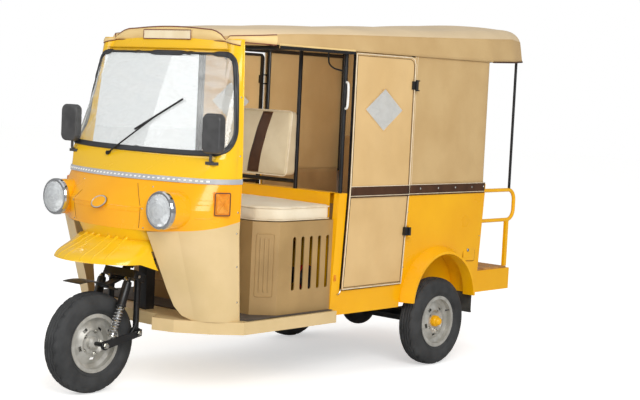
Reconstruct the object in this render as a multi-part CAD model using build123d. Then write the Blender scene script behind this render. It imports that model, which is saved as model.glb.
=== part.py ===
from build123d import *
import os
from collections import namedtuple
from math import atan2, cos, degrees, hypot, radians, sin, tan

os.makedirs("parts", exist_ok=True)

# A three-wheeled motor rickshaw, millimetres, +Z up, front towards -Y.
# Stations along Y are measured from the rear axle; each node is moved by REAR_AXLE_Y when it is
# written, so that the origin is on the ground under the middle of the vehicle.

# ---- driving dimensions ----
WHEELBASE = 2000.0
TRACK = 1060.0  # between the middles of the rear tyres
TYRE_RADIUS = 243.0
TYRE_WIDTH = 118.0
RIM_SEAT_RADIUS = 127.0  # ten inch bead seat
RIM_FLANGE_RADIUS = 142.0
RIM_WIDTH = 92.0
SHEET = 3.0  # pressed body panels
VINYL = 4.0  # canopy and door cloth
CAB_HALF = 550.0  # half width of the front cab
BODY_HALF = 556.0  # half width of the rear body at the belt
SILL_HALF = 526.0  # half width of the rear body at the sill
ROOF_HALF = BODY_HALF + 7.0  # the roof hangs over the curtains
FLOOR_HALF = 575.0
SILL_Z = 368.0
FLOOR_Z = 376.0  # top of the cab floor
FLOOR_LIP = 60.0  # height of the floor pan's edge
BELT_Z = 1000.0
RAIL_Z = 1695.0  # side rail that carries the canopy
DOOR_FRONT_Y = -800.0
DOOR_REAR_Y = -308.0
DOOR_BOTTOM_Z = 474.0
BODY_REAR_Y = 420.0
DECK_REAR_Y = 755.0
RACK_REAR_Y = 812.0
BULKHEAD_Y = -868.0  # front face, in line with the door posts
POST_DEPTH = 62.0
BULKHEAD_Z = 974.0
RAKE_DEG = 24.0  # steering head angle from the vertical
LAMP_RADIUS = 90.0
TUBE_RADIUS = 11.0
GAP = 0.3  # between curved faces that only meet
DOOR_GAP = 6.0

FRONT_AXLE_Y = -WHEELBASE
FRONT_REACH_Y = FRONT_AXLE_Y - TYRE_RADIUS
REAR_AXLE_Y = -(FRONT_REACH_Y + RACK_REAR_Y) / 2
HEAD_Y = FRONT_AXLE_Y + 200.0  # the steering axis at HEAD_Z
HEAD_Z = 550.0


# ---- small shape helpers ----
def block(x0, x1, y0, y1, z0, z1):
    """Box between limits."""
    centre = Pos((x0 + x1) / 2, (y0 + y1) / 2, (z0 + z1) / 2)
    return centre * Box(x1 - x0, y1 - y0, z1 - z0)


def slab_x(outline, x0, x1):
    """Prism of a (y, z) outline between two x planes."""
    face = make_face(Polyline(*[(x0, y, z) for y, z in outline], close=True))
    return extrude(face, amount=x1 - x0, dir=(1, 0, 0))


def slab_y(outline, y0, y1):
    """Prism of an (x, z) outline between two y planes."""
    face = make_face(Polyline(*[(x, y0, z) for x, z in outline], close=True))
    return extrude(face, amount=y1 - y0, dir=(0, 1, 0))


def slab_z(outline, z0, z1):
    """Prism of an (x, y) outline between two z planes."""
    face = make_face(Polyline(*[(x, y, z0) for x, y in outline], close=True))
    return extrude(face, amount=z1 - z0, dir=(0, 0, 1))


def pipe(points, radius, bend=0.0):
    """Round bar through points, its corners bent to one radius."""
    path = Line(*points) if len(points) == 2 else FilletPolyline(*points, radius=bend)
    return sweep(Plane(origin=path @ 0, z_dir=path % 0) * Circle(radius), path=path)


def turned(profile, x=0.0, y=0.0, z=0.0):
    """Solid of revolution round a line along X, from (x, radius) points."""
    face = make_face(Polyline(*profile, close=True))
    return Pos(x, y, z) * revolve(face, Axis.X)


def disc_x(radius, x0, x1, y, z):
    """Cylinder along X."""
    return Pos((x0 + x1) / 2, y, z) * Rot(0, 90, 0) * Cylinder(radius, x1 - x0)


def other_side(part):
    """The mirrored piece on the right."""
    return mirror(part, about=Plane.YZ)


nodes = {}


def keep_pair(name, left):
    """Collect a left piece and its mirror image in one node."""
    keep(name, left + other_side(left))


def keep(name, part):
    """Collect one node."""
    nodes[name] = part


# ---- front cab: one skin through plan sections ----
# Each station is a plan outline: straight side, rounded corner, bowed front.
Station = namedtuple("Station", "z half rear_y side_y corner_x corner_y front_y")


def station(z, half, rear, side, corner_in, corner, front):
    """Plan outline from offsets behind the front axle and inside the half width."""
    y = FRONT_AXLE_Y
    return Station(z, half, y + rear, y + side, half - corner_in, y + corner, y + front)


SHIELD_FOOT = station(FLOOR_Z, CAB_HALF - 15, 470, 455, 130, 300, 215)
NOSE_FOOT = station(800.0, CAB_HALF - 3, 430, 360, 142, 170, 45)
NOSE_MIDDLE = station(910.0, CAB_HALF, 430, 350, 132, 150, 38)
TRIM_LINE = station(1032.0, CAB_HALF, 430, 395, 95, 228, 132)
SCREEN_FOOT = station(1150.0, CAB_HALF, 430, 400, 30, 285, 245)
SCREEN_HEAD = station(1655.0, CAB_HALF - 45, 458, 442, 85, 428, 402)
HEADER_TOP = station(1712.0, CAB_HALF - 53, 462, 446, 100, 440, 425)


def plan(section, inset=0.0, tail=0.0):
    """Closed plan face of a station, drawn in by inset and lengthened to the rear by tail."""
    half = section.half - inset
    corner_x = section.corner_x - 0.6 * inset
    corner_y = section.corner_y + 0.8 * inset
    front_y = section.front_y + inset
    side_y = section.side_y + 0.2 * inset
    rear_y = section.rear_y + tail
    z = section.z
    bow = 0.16 * hypot(half - corner_x, side_y - corner_y)
    run = hypot(half - corner_x, side_y - corner_y)
    middle_x = (half + corner_x) / 2 + bow * (side_y - corner_y) / run
    middle_y = (side_y + corner_y) / 2 - bow * (half - corner_x) / run
    edges = [
        Line((half, rear_y, z), (half, side_y, z)),
        ThreePointArc((half, side_y, z), (middle_x, middle_y, z), (corner_x, corner_y, z)),
        ThreePointArc((corner_x, corner_y, z), (0, front_y, z), (-corner_x, corner_y, z)),
        ThreePointArc((-corner_x, corner_y, z), (-middle_x, middle_y, z), (-half, side_y, z)),
        Line((-half, side_y, z), (-half, rear_y, z)),
        Line((-half, rear_y, z), (half, rear_y, z)),
    ]
    return make_face(edges)


def cab_solid(stations, inset=0.0, tail=0.0):
    """Stack of ruled lofts through the stations."""
    pieces = [
        loft([plan(low, inset, tail), plan(high, inset, tail)], ruled=True)
        for low, high in zip(stations, stations[1:])
    ]
    solid = pieces[0]
    for piece in pieces[1:]:
        solid += piece
    return solid


def cab_skin(stations, outer, inner):
    """Sheet between two insets, open at the rear."""
    return cab_solid(stations, outer) - cab_solid(stations, inner, tail=60)


def rounded_trapezium(foot_half, head_half, foot_z, head_z, foot_round, head_round, grow=0.0):
    """Windscreen outline as a prism along Y, grown outwards on every side."""
    corners = [
        (foot_half + grow, foot_z - grow),
        (head_half + grow, head_z + grow),
        (-head_half - grow, head_z + grow),
        (-foot_half - grow, foot_z - grow),
    ]
    prism = slab_y(corners, FRONT_AXLE_Y - 100, FRONT_AXLE_Y + 700)
    edges = prism.edges().filter_by(Axis.Y).sort_by(Axis.Z)
    prism = fillet(edges[:2], foot_round + grow)
    edges = prism.edges().filter_by(Axis.Y).sort_by(Axis.Z)
    return fillet(edges[-2:], head_round + grow)


SCREEN_LOW, SCREEN_HIGH = 1164.0, 1641.0
SCREEN_REAR = (FRONT_AXLE_Y + 378.0, FRONT_AXLE_Y + 424.0)  # rear edge of the glass, low and high
SCREEN_FOOT_ROUND = 150.0


def windscreen_outline(grow=0.0):
    """Wrap-round glass: rounded at the top in the front view and at the foot in the side view."""
    front = rounded_trapezium(CAB_HALF + 45, CAB_HALF - 72, SCREEN_LOW, SCREEN_HIGH, 95, 70, grow)
    outline = [
        (FRONT_AXLE_Y - 100, SCREEN_LOW - grow),
        (SCREEN_REAR[0] + grow, SCREEN_LOW - grow),
        (SCREEN_REAR[1] + grow, SCREEN_HIGH + grow + 5),
        (FRONT_AXLE_Y - 100, SCREEN_HIGH + grow + 5),
    ]
    side = slab_x(outline, -700, 700)
    foot = side.edges().filter_by(Axis.X).group_by(Axis.Z)[0].sort_by(Axis.Y)[-1]
    return front & fillet(foot, SCREEN_FOOT_ROUND + grow)


# Front view of the left leg shield (x, z), and the side view of its rising top edge (y, z).
SHIELD_EDGE = [(265, 900), (268, 790), (300, 520), (316, 440), (345, 396), (392, FLOOR_Z), (900, FLOOR_Z), (900, 900)]
SHIELD_TOP = [
    (FRONT_AXLE_Y - 100, 300),
    (FRONT_AXLE_Y - 100, 790),
    (FRONT_AXLE_Y + 70, 790),
    (FRONT_AXLE_Y + 700, 905),
    (FRONT_AXLE_Y + 700, 300),
]


def front_cab():
    """Nose, dash panel, screen frame and the beige leg shields below them."""
    upper = [NOSE_FOOT, NOSE_MIDDLE, TRIM_LINE, SCREEN_FOOT, SCREEN_HEAD, HEADER_TOP]
    screen = [TRIM_LINE, SCREEN_FOOT, SCREEN_HEAD, HEADER_TOP]
    cowl = cab_skin(upper, 0, SHEET) - windscreen_outline()
    inside = cab_solid([NOSE_FOOT, NOSE_MIDDLE, TRIM_LINE, SCREEN_FOOT], SHEET, tail=60)
    for side in (-1, 1):
        place = Pos(side * LAMP_X, LAMP_Y, LAMP_Z) * Rot(0, 0, 90)
        nacelle = place * turned([(27, 0), (27, LAMP_RADIUS - 4), (190, LAMP_RADIUS - 2), (190, 0)])
        cowl += nacelle - inside
        cowl -= place * turned([(26, 0), (26, LAMP_RADIUS - 8), (200, LAMP_RADIUS - 8), (200, 0)])
    glass = cab_skin(screen, -1, 4) & windscreen_outline(-2)
    ring = windscreen_outline(14) - windscreen_outline(-20)
    seal = (cab_skin(screen, -7, 9) & ring) - cowl - glass
    lid = cab_solid([SCREEN_HEAD, HEADER_TOP])
    cowl += lid & block(-700, 700, FRONT_AXLE_Y, BULKHEAD_Y, HEADER_TOP.z - SHEET, HEADER_TOP.z)
    left = cab_skin([SHIELD_FOOT, NOSE_FOOT, NOSE_MIDDLE], 0, SHEET)
    left &= slab_y(SHIELD_EDGE, FRONT_AXLE_Y - 100, FRONT_AXLE_Y + 700)
    left &= slab_x(SHIELD_TOP, 0, 700)
    above = slab_x(SHIELD_TOP, SHIELD_EDGE[0][0], 700)
    cowl -= above + other_side(above)
    left -= cowl
    keep("front_cowl", cowl.solids().sort_by(SortBy.VOLUME)[-1])
    keep("windscreen_glass", glass)
    keep("windscreen_seal", seal)
    keep("leg_shield_left", left)
    keep("leg_shield_right", other_side(left))

    band = block(-700, 700, FRONT_AXLE_Y - 100, FRONT_AXLE_Y + 700, TRIM_LINE.z + 1, TRIM_LINE.z + 25)
    keep("chrome_strip", cab_skin([TRIM_LINE, SCREEN_FOOT], -5, 0) & band)


Dome = namedtuple("Dome", "z half reach root")
# Scoop of the front fender: half width, forward reach, and how far its middle sits behind the axle.
SCOOP = [
    Dome(600.0, 284, 186, 55),
    Dome(640.0, 272, 186, 55),
    Dome(662.0, 270, 178, 65),
    Dome(690.0, 267, 160, 100),
    Dome(720.0, 261, 136, 137),
    Dome(748.0, 252, 100, 170),
]
NECK = Dome(800.0 - GAP, 238, 72.5, 119)
FENDER_REAR_Y = FRONT_AXLE_Y + 180.0
# Side view of what is cut away under the fender's lip: level at the tip, lower at the cheeks.
LIP_CUT = [
    (FRONT_AXLE_Y - 300, 500),
    (FRONT_AXLE_Y - 300, 641),
    (FRONT_AXLE_Y + 65, 641),
    (FENDER_REAR_Y + 20, 598),
    (FENDER_REAR_Y + 20, 500),
]


def nose_fender():
    """Scoop over the front wheel with a neck up to the nose."""

    def dome_face(dome, inset, drop, tail):
        root = FRONT_AXLE_Y + dome.root
        z = dome.z - drop
        half, reach = dome.half - inset, dome.reach - inset
        back = FENDER_REAR_Y + tail
        edges = [
            EllipticalCenterArc((0, root, z), half, reach, start_angle=180, arc_size=180),
            Line((half, root, z), (half, back, z)),
            Line((half, back, z), (-half, back, z)),
            Line((-half, back, z), (-half, root, z)),
        ]
        return make_face(edges)

    outer = loft([dome_face(dome, 0, 0, 0) for dome in SCOOP])
    outer += loft([dome_face(dome, 0, 0, 0) for dome in (SCOOP[-1], NECK)], ruled=True)
    inner = loft([dome_face(dome, SHEET, SHEET, 10) for dome in SCOOP])
    inner += loft([dome_face(dome, SHEET, SHEET, 10) for dome in (SCOOP[-1], NECK)], ruled=True)
    shell = outer - inner - slab_x(LIP_CUT, -400, 400)
    cheeks = cab_solid([SHIELD_FOOT, NOSE_FOOT], -GAP, 200)
    cheeks -= block(-262, 262, FRONT_AXLE_Y, FRONT_AXLE_Y + 700, 300, 900)
    shell -= cheeks
    keep("nose_fender", shell.solids().sort_by(SortBy.VOLUME)[-1])


LAMP_X = 384.0
LAMP_Y = FRONT_AXLE_Y + 64.0  # front of the lens
LAMP_Z = 906.0


def headlamps():
    """Bucket, bezel and domed lens, facing forward."""
    lenses = []
    for name, x in (("left", LAMP_X), ("right", -LAMP_X)):
        place = Pos(x, LAMP_Y, LAMP_Z) * Rot(0, 0, 90)
        shell = [
            (-2, LAMP_RADIUS - 12),
            (-2, LAMP_RADIUS - 4),
            (6, LAMP_RADIUS),
            (22, LAMP_RADIUS),
            (26.7, LAMP_RADIUS - 8),
            (50, LAMP_RADIUS - 14),
            (80, 40),
            (80, 0),
            (76, 0),
            (50, LAMP_RADIUS - 20),
            (12, LAMP_RADIUS - 12),
        ]
        bucket = place * turned(shell)
        keep("headlamp_" + name, bucket)
        lens_shape = [(-14, 0), (-11, 35), (-2, LAMP_RADIUS - 13), (3, LAMP_RADIUS - 13), (-6, 35), (-9, 0)]
        lenses.append(place * turned(lens_shape))
    keep("headlamp_lenses", lenses[0] + lenses[1])


def indicators():
    """Amber lamp on each cab corner."""
    lamp = Pos(544, FRONT_AXLE_Y + 308, 942) * Rot(0, 0, 68) * Box(84, 26, 112)
    lamp = fillet(lamp.edges(), 5)
    lamp -= cab_solid([NOSE_FOOT, NOSE_MIDDLE, TRIM_LINE], 0, 60)
    keep_pair("indicators", lamp.solids().sort_by(SortBy.VOLUME)[-1])


def mirrors():
    """Upright head on a short arm and clamp."""
    head_y = FRONT_AXLE_Y + 262
    for name, side in (("left", 1), ("right", -1)):
        head = Pos(side * 518, head_y, 1268) * Box(118, 46, 186)
        head = fillet(head.edges().filter_by(Axis.Y), 34)
        head = fillet(head.edges(), 12)
        bends = [(side * 505, head_y, 1200), (side * 505, head_y, 1134), (side * 496, head_y + 90, 1130)]
        arm = pipe(bends, 7, 14)
        foot = block(*sorted((side * 468, side * 528)), head_y + 2, head_y + 90, 1122, 1136)
        piece = head + arm + foot
        piece -= cab_solid([TRIM_LINE, SCREEN_FOOT, SCREEN_HEAD], -GAP, 100)
        piece -= nodes["windscreen_seal"]
        keep("mirror_" + name, piece.solids().sort_by(SortBy.VOLUME)[-1])


def wiper():
    """Pivot below the glass, arm and blade across it."""
    y = FRONT_AXLE_Y
    pivot = Pos(-184, y + 234, 1136) * Rot(90, 0, 0) * Cylinder(10, 26)
    arm = pipe([(-184, y + 228, 1136), (-96, y + 247, 1200), (97, y + 294, 1339)], 4, 40)
    blade = pipe([(-38, y + 269, 1260), (233, y + 326, 1418)], 5)
    piece = pivot + arm + blade
    piece -= cab_solid([TRIM_LINE, SCREEN_FOOT, SCREEN_HEAD], -1 - GAP, 100)
    piece -= nodes["windscreen_seal"]
    keep("wiper", piece.solids().sort_by(SortBy.VOLUME)[-1])


# ---- floor, frame and power unit ----
def floor_outline(inset=0.0):
    """Half of the cab floor plan, from the middle of the front notch round to the rear."""
    y = FRONT_AXLE_Y
    side = FLOOR_HALF - inset
    return [
        (0, y + 290 + inset),
        (150, y + 290 + inset),
        (215 + inset, y + 200 + inset),
        (330, y + 235 + inset),
        (470 - 0.5 * inset, y + 340 + inset),
        (side, y + 460 + inset),
        (side, BULKHEAD_Y - inset),
    ]


def cab_floor():
    """Pressed pan with a turned-down edge."""
    def outline(inset):
        half = floor_outline(inset)
        return half + [(-x, y) for x, y in reversed(half[1:])]

    pan = slab_z(outline(0), FLOOR_Z - FLOOR_LIP, FLOOR_Z)
    pan -= slab_z(outline(SHEET), FLOOR_Z - FLOOR_LIP - 1, FLOOR_Z - SHEET)
    keep("cab_floor", pan - nodes["chassis_frame"])


RAIL_X = 300.0
RAIL_TOP = FLOOR_Z - SHEET  # the floor sits on the frame rails
RAIL_DEPTH = 46.0
RAIL_WIDTH = 40.0
FRAME_FRONT_Y = FRONT_AXLE_Y + 330.0


def head_frame():
    """Plane of the steering axis: +Z runs up the raked head."""
    up = Vector(0, sin(radians(RAKE_DEG)), cos(radians(RAKE_DEG)))
    return Plane(origin=(0, HEAD_Y, HEAD_Z), x_dir=(1, 0, 0), z_dir=up)


def chassis():
    """Ladder frame with the neck that carries the steering head."""
    frame = None
    for side in (-1, 1):
        x0, x1 = sorted((side * (RAIL_X - RAIL_WIDTH / 2), side * (RAIL_X + RAIL_WIDTH / 2)))
        rail = block(x0, x1, FRAME_FRONT_Y, DECK_REAR_Y - 20, RAIL_TOP - RAIL_DEPTH, RAIL_TOP)
        frame = rail if frame is None else frame + rail
    for y in (FRAME_FRONT_Y, BULKHEAD_Y - 60, DOOR_REAR_Y + 20, DECK_REAR_Y - 60):
        frame += block(-RAIL_X, RAIL_X, y, y + 40, RAIL_TOP - RAIL_DEPTH, RAIL_TOP)
    neck_low = (0, FRAME_FRONT_Y + 20, RAIL_TOP - 20)
    plane = head_frame()
    neck_high = plane.from_local_coords((0, 0, 150))
    frame += block(-30, 30, FRAME_FRONT_Y - 8, FRAME_FRONT_Y + 48, RAIL_TOP - RAIL_DEPTH, FLOOR_Z + 250)
    frame += pipe([(0, FRAME_FRONT_Y + 20, FLOOR_Z + 235), tuple(neck_high)], 24)
    tube = plane * (Pos(0, 0, 145) * Cylinder(32, 190))
    bore = plane * (Pos(0, 0, 145) * Cylinder(STEM_RADIUS + 0.05, 400))
    keep("chassis_frame", (frame + tube) - bore)


STEM_RADIUS = 20.0


def engine():
    """Closed power unit under the driver's seat."""
    unit = block(-210, 210, BULKHEAD_Y - 395, BULKHEAD_Y - 40, 390, 640)
    unit = fillet(unit.edges().filter_by(Axis.Z), 40)
    head = block(-120, 120, BULKHEAD_Y - 330, BULKHEAD_Y - 120, 640, 730)
    for i in range(5):
        fin_z = 652 + 16 * i
        head += block(-134, 134, BULKHEAD_Y - 344, BULKHEAD_Y - 106, fin_z, fin_z + 5)
    feet = block(-RAIL_X + 21, RAIL_X - 21, BULKHEAD_Y - 300, BULKHEAD_Y - 250, FLOOR_Z, 392)
    keep("engine_unit", unit + head + feet)


SEAT_BOX_HALF = 522.0
SEAT_BOX_TOP = 838.0
SEAT_FRONT_Y = BULKHEAD_Y - 490.0
SEAT_CHAMFER = 95.0
SLOT_COUNT = 5


def seat_box():
    """Moulded box round the power unit, with a slotted side and ribbed corner."""
    def outline(inset):
        half = SEAT_BOX_HALF - inset
        front = SEAT_FRONT_Y + inset
        cut = SEAT_CHAMFER - 0.6 * inset
        rear = BULKHEAD_Y + (20 if inset else 0)
        return [
            (half, rear),
            (half, front + cut),
            (half - cut, front),
            (-half + cut, front),
            (-half, front + cut),
            (-half, rear),
        ]

    wall = 5.0
    box = slab_z(outline(0), FLOOR_Z, SEAT_BOX_TOP)
    box -= slab_z(outline(wall), FLOOR_Z - 1, SEAT_BOX_TOP - wall)
    pitch = 62.0
    first = BULKHEAD_Y - 36.0
    for i in range(SLOT_COUNT):
        y = first - i * pitch
        slot = block(-700, 700, y - 12, y + 12, 494, 762)
        slot = fillet(slot.edges().filter_by(Axis.X), 11.5)
        box -= slot
    keep("seat_box", box)


def driver_seat():
    """Cushion on the box and a backrest on the poles."""
    half = SEAT_BOX_HALF - 4
    cushion = block(-half, half, SEAT_FRONT_Y + 8, BULKHEAD_Y - 2, SEAT_BOX_TOP, SEAT_BOX_TOP + 92)
    cushion = chamfer(cushion.edges().filter_by(Axis.Z).sort_by(Axis.Y)[:2], 88)
    cushion = fillet(cushion.edges().group_by(Axis.Z)[-1], 24)
    keep("driver_cushion", cushion)
    back_y = POLE_Y - TUBE_RADIUS - GAP
    back = block(-240, 240, back_y - 96, back_y, 1034, 1382)
    back -= slab_x([(back_y - 120, 1400), (back_y - 60, 1400), (back_y - 96, 1020), (back_y - 120, 1020)], -300, 300)
    back = fillet(back.edges().filter_by(Axis.Y), 30)
    keep("driver_backrest", back)


DOOR_FACE_X = BODY_HALF + 12.0
DOOR_TOP_Z = RAIL_Z - 7.0
HINGE_X = DOOR_FACE_X + 8.0
HINGE_Y = DOOR_REAR_Y + 8.0
HINGE_HEIGHTS = (760.0, 1540.0)
PIN_RADIUS = 5.0
KNUCKLE = 44.0


# ---- rear body ----
POLE_Y = BULKHEAD_Y + POST_DEPTH / 2
ARCH_Y = 20.0
ARCH_Z = 345.0
ARCH_RADIUS = 276.0
BENCH_Z = 610.0  # passenger bench board


def side_x(z):
    """Outer face of the rear body, leaning in towards the sill."""
    return SILL_HALF + (BODY_HALF - SILL_HALF) * (z - SILL_Z) / (BELT_Z - SILL_Z)


def side_wall(y0, y1, z0, z1, thick=SHEET):
    """Leaning sheet between y and z limits."""
    outline = [
        (side_x(z0), z0),
        (side_x(z1), z1),
        (side_x(z1) - thick, z1),
        (side_x(z0) - thick, z0),
    ]
    return slab_y(outline, y0, y1)


def rear_quarters():
    """Side panels with the flared wheel arch, one on each side."""
    panel = side_wall(DOOR_REAR_Y + 12, BODY_REAR_Y, SILL_Z, BELT_Z)
    flare_foot = ARCH_RADIUS + 44
    flare = Pos(0, ARCH_Y, ARCH_Z) * revolve(
        make_face(
            Polyline(
                (520, 0),
                (side_x(ARCH_Z) - 30, flare_foot),
                (side_x(ARCH_Z) + 8, flare_foot),
                (602, ARCH_RADIUS + 14),
                (602, 0),
                close=True,
            )
        ),
        Axis.X,
    )
    flare &= block(400, 700, DOOR_REAR_Y + 12, BODY_REAR_Y, SILL_Z, 800)
    behind_panel = slab_y(
        [(side_x(SILL_Z) - 1, SILL_Z), (side_x(800) - 1, 800), (300, 800), (300, SILL_Z)], -600, 600
    )
    panel += flare - behind_panel
    panel -= disc_x(ARCH_RADIUS, 400, 700, ARCH_Y, ARCH_Z)
    panel -= turned(
        [(500, 0), (500, ARCH_RADIUS + 30), (570, ARCH_RADIUS + 30), (599, ARCH_RADIUS + 11), (599, 0)],
        0,
        ARCH_Y,
        ARCH_Z,
    ) & slab_y(
        [(side_x(SILL_Z) - 10, SILL_Z - 5), (side_x(SILL_Z), SILL_Z - 5), (side_x(800), 800), (side_x(800) - 10, 800)],
        -600,
        600,
    )
    panel = panel.solids().sort_by(SortBy.VOLUME)[-1]
    panel += hinge_bracket(HINGE_HEIGHTS[0], side_x(HINGE_HEIGHTS[0]) - 1)
    keep("rear_quarter_left", panel)
    keep("rear_quarter_right", other_side(panel))


def wheelhouses():
    """Inner arch over each rear wheel."""
    outer_x = side_x(SILL_Z) - GAP
    inner_x = TRACK / 2 - TYRE_WIDTH / 2 - 50
    shell = disc_x(ARCH_RADIUS + 30 - GAP, inner_x, outer_x, ARCH_Y, ARCH_Z)
    shell -= disc_x(ARCH_RADIUS + 26, inner_x + SHEET, outer_x + 1, ARCH_Y, ARCH_Z)
    shell &= block(300, 700, -400, 400, SILL_Z + 10, 800)
    keep_pair("wheelhouses", shell)


def rear_body():
    """Door sills and posts, bulkhead, floor, seats and back panel."""
    rear = DOOR_REAR_Y + 12
    front = BULKHEAD_Y
    bar = side_wall(front, rear, SILL_Z - 26, DOOR_BOTTOM_Z - 8, 30)
    post = side_wall(front, front + POST_DEPTH, DOOR_BOTTOM_Z - 8, BULKHEAD_Z, 34)
    keep("door_sill_left", bar + post)
    keep("door_sill_right", other_side(bar + post))
    inner = side_x(SILL_Z - 26) - 34
    wall = block(-inner, inner, front, front + SHEET, FLOOR_Z, BULKHEAD_Z)
    wall += block(-inner, inner, front, front + POST_DEPTH, BULKHEAD_Z - SHEET, BULKHEAD_Z)
    wall += block(-inner, inner, front + POST_DEPTH - SHEET, front + POST_DEPTH, BULKHEAD_Z - 60, BULKHEAD_Z)
    keep("bulkhead", wall)
    floor = block(-490, 490, front + SHEET, DOOR_REAR_Y, RAIL_TOP, RAIL_TOP + SHEET)
    step = block(-400, 400, DOOR_REAR_Y, DOOR_REAR_Y + SHEET, RAIL_TOP, BENCH_Z)
    top = block(-400, 400, DOOR_REAR_Y, BODY_REAR_Y - 6, BENCH_Z, BENCH_Z + SHEET)
    keep("passenger_floor", floor + step + top)
    back_half = side_x(SILL_Z) - 4
    back = block(-back_half, back_half, BODY_REAR_Y - 6, BODY_REAR_Y - 3, RAIL_TOP, BELT_Z)
    keep("back_panel", back)
    rest_front = BODY_REAR_Y - 100
    bench = block(-395, 395, DOOR_REAR_Y + 4, rest_front - 1, BENCH_Z + SHEET, BENCH_Z + 110)
    bench = fillet(bench.edges().group_by(Axis.Z)[-1], 26)
    keep("passenger_cushion", bench)
    rest = block(-480, 480, rest_front, BODY_REAR_Y - 8 - VINYL - GAP, BENCH_Z + 112, 1230)
    rest = fillet(rest.edges().group_by(Axis.Y)[0], 26)
    keep("passenger_backrest", rest)


STAY_X = 500.0
STAY_Y = 745.0
REAR_RAIL_Z = RAIL_Z + 30.0


def rear_deck():
    """Goods deck behind the body, with its looped rails and flaps."""
    half = SILL_HALF
    y0, y1 = BODY_REAR_Y, DECK_REAR_Y
    z0, z1 = SILL_Z, 492.0
    tray = block(-half, half, y0, y1, z0, z1)
    tray -= block(-half + SHEET, half - SHEET, y0 + SHEET, y1 - SHEET, z0 - 1, z1 - SHEET)
    keep("deck_tray", tray - nodes["chassis_frame"])
    boards = None
    count = 5
    width = (y1 - y0 - 30) / count
    for i in range(count):
        y = y0 + 10 + i * width
        board = block(-half + 8, half - 8, y, y + width - 4, z1, z1 + 10)
        boards = board if boards is None else boards + board
    keep("deck_boards", boards)
    top_z, low_z = 955.0, 778.0
    x = STAY_X
    rail = pipe(
        [
            (x, y0 + 1, top_z),
            (x, RACK_REAR_Y - TUBE_RADIUS, top_z),
            (x, RACK_REAR_Y - TUBE_RADIUS, low_z),
            (x, y0 + 1, low_z),
        ],
        TUBE_RADIUS,
        62,
    )
    post = block(x - 9, x + 9, 722, 748, z1 + 10, low_z)
    rack = rail + post
    keep("rack_rail_left", rack)
    keep("rack_rail_right", other_side(rack))
    stay = pipe([(x, STAY_Y, top_z + TUBE_RADIUS - 2), (x, STAY_Y, REAR_RAIL_Z)], 8) - rack
    for tube in canopy_tubes(TUBE_RADIUS):
        stay -= tube
    stay = stay.solids().sort_by(SortBy.VOLUME)[-1]
    keep_pair("roof_stays", stay)
    low_flap = block(440, 560, 330, 336, 262, SILL_Z - GAP)
    high_flap = block(440, side_x(SILL_Z) - SHEET - GAP, 330, 336, SILL_Z - GAP, 440)
    flap = low_flap + high_flap
    keep_pair("mudflaps", flap)


# ---- canopy ----
ROOF_THICK = 9.0
Bow = namedtuple("Bow", "y half eave shoulder crown")
ROOF_FRONT_Y = FRONT_AXLE_Y + 438.0
ROOF_REAR_Y = 752.0
BOWS = [
    Bow(ROOF_FRONT_Y, 398, RAIL_Z + 9, 1726, 1768),
    Bow(ROOF_FRONT_Y + 100, 515, RAIL_Z + 5, 1736, 1777),
    Bow(ROOF_FRONT_Y + 192, ROOF_HALF - 7, RAIL_Z + 2, 1745, 1784),
    Bow(ROOF_FRONT_Y + 387, ROOF_HALF, RAIL_Z, 1758, 1797),
    Bow(DOOR_FRONT_Y, ROOF_HALF, RAIL_Z, 1776, 1822),
    Bow(DOOR_REAR_Y + 12, ROOF_HALF, RAIL_Z, 1796, 1850),
    Bow(BODY_REAR_Y - 8, ROOF_HALF, RAIL_Z + 2, 1826, 1898),
    Bow(ROOF_REAR_Y - 102, ROOF_HALF - 15, RAIL_Z + 11, 1838, 1920),
    Bow(ROOF_REAR_Y + 22, ROOF_HALF - 41, RAIL_Z + 19, 1828, 1920),
]
# Corner of the roof section: (inside the half width, share of the height from shoulder to crown).
CORNER_FOOT = (22, 0.0)
CORNER_MIDDLE = (62, 0.47)
CORNER_END = (140, 0.72)


def bow_face(bow, inset, depth):
    """Roof section: leaning sides, a rounded shoulder and a flat arched top."""
    rise = bow.crown - bow.shoulder

    def corner(place):
        return bow.half - inset - place[0], bow.shoulder - inset + place[1] * rise

    foot, middle, end = corner(CORNER_FOOT), corner(CORNER_MIDDLE), corner(CORNER_END)
    half, low, y = bow.half - inset, bow.eave - depth, bow.y
    crown = bow.crown - inset

    def left(place):
        return (place[0], y, place[1])

    def right(place):
        return (-place[0], y, place[1])

    edges = [
        Line((half, y, low), left(foot)),
        ThreePointArc(left(foot), left(middle), left(end)),
        ThreePointArc(left(end), (0, y, crown), right(end)),
        ThreePointArc(right(end), right(middle), right(foot)),
        Line(right(foot), (-half, y, low)),
        Line((-half, y, low), (half, y, low)),
    ]
    return make_face(edges)


def roof_level(y):
    """Shoulder and crown heights of the roof at a place between two bows."""
    for front, rear in zip(BOWS, BOWS[1:]):
        if y <= rear.y:
            break
    t = (y - front.y) / (rear.y - front.y)
    return [a + (b - a) * t for a, b in ((front.shoulder, rear.shoulder), (front.crown, rear.crown))]


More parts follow.
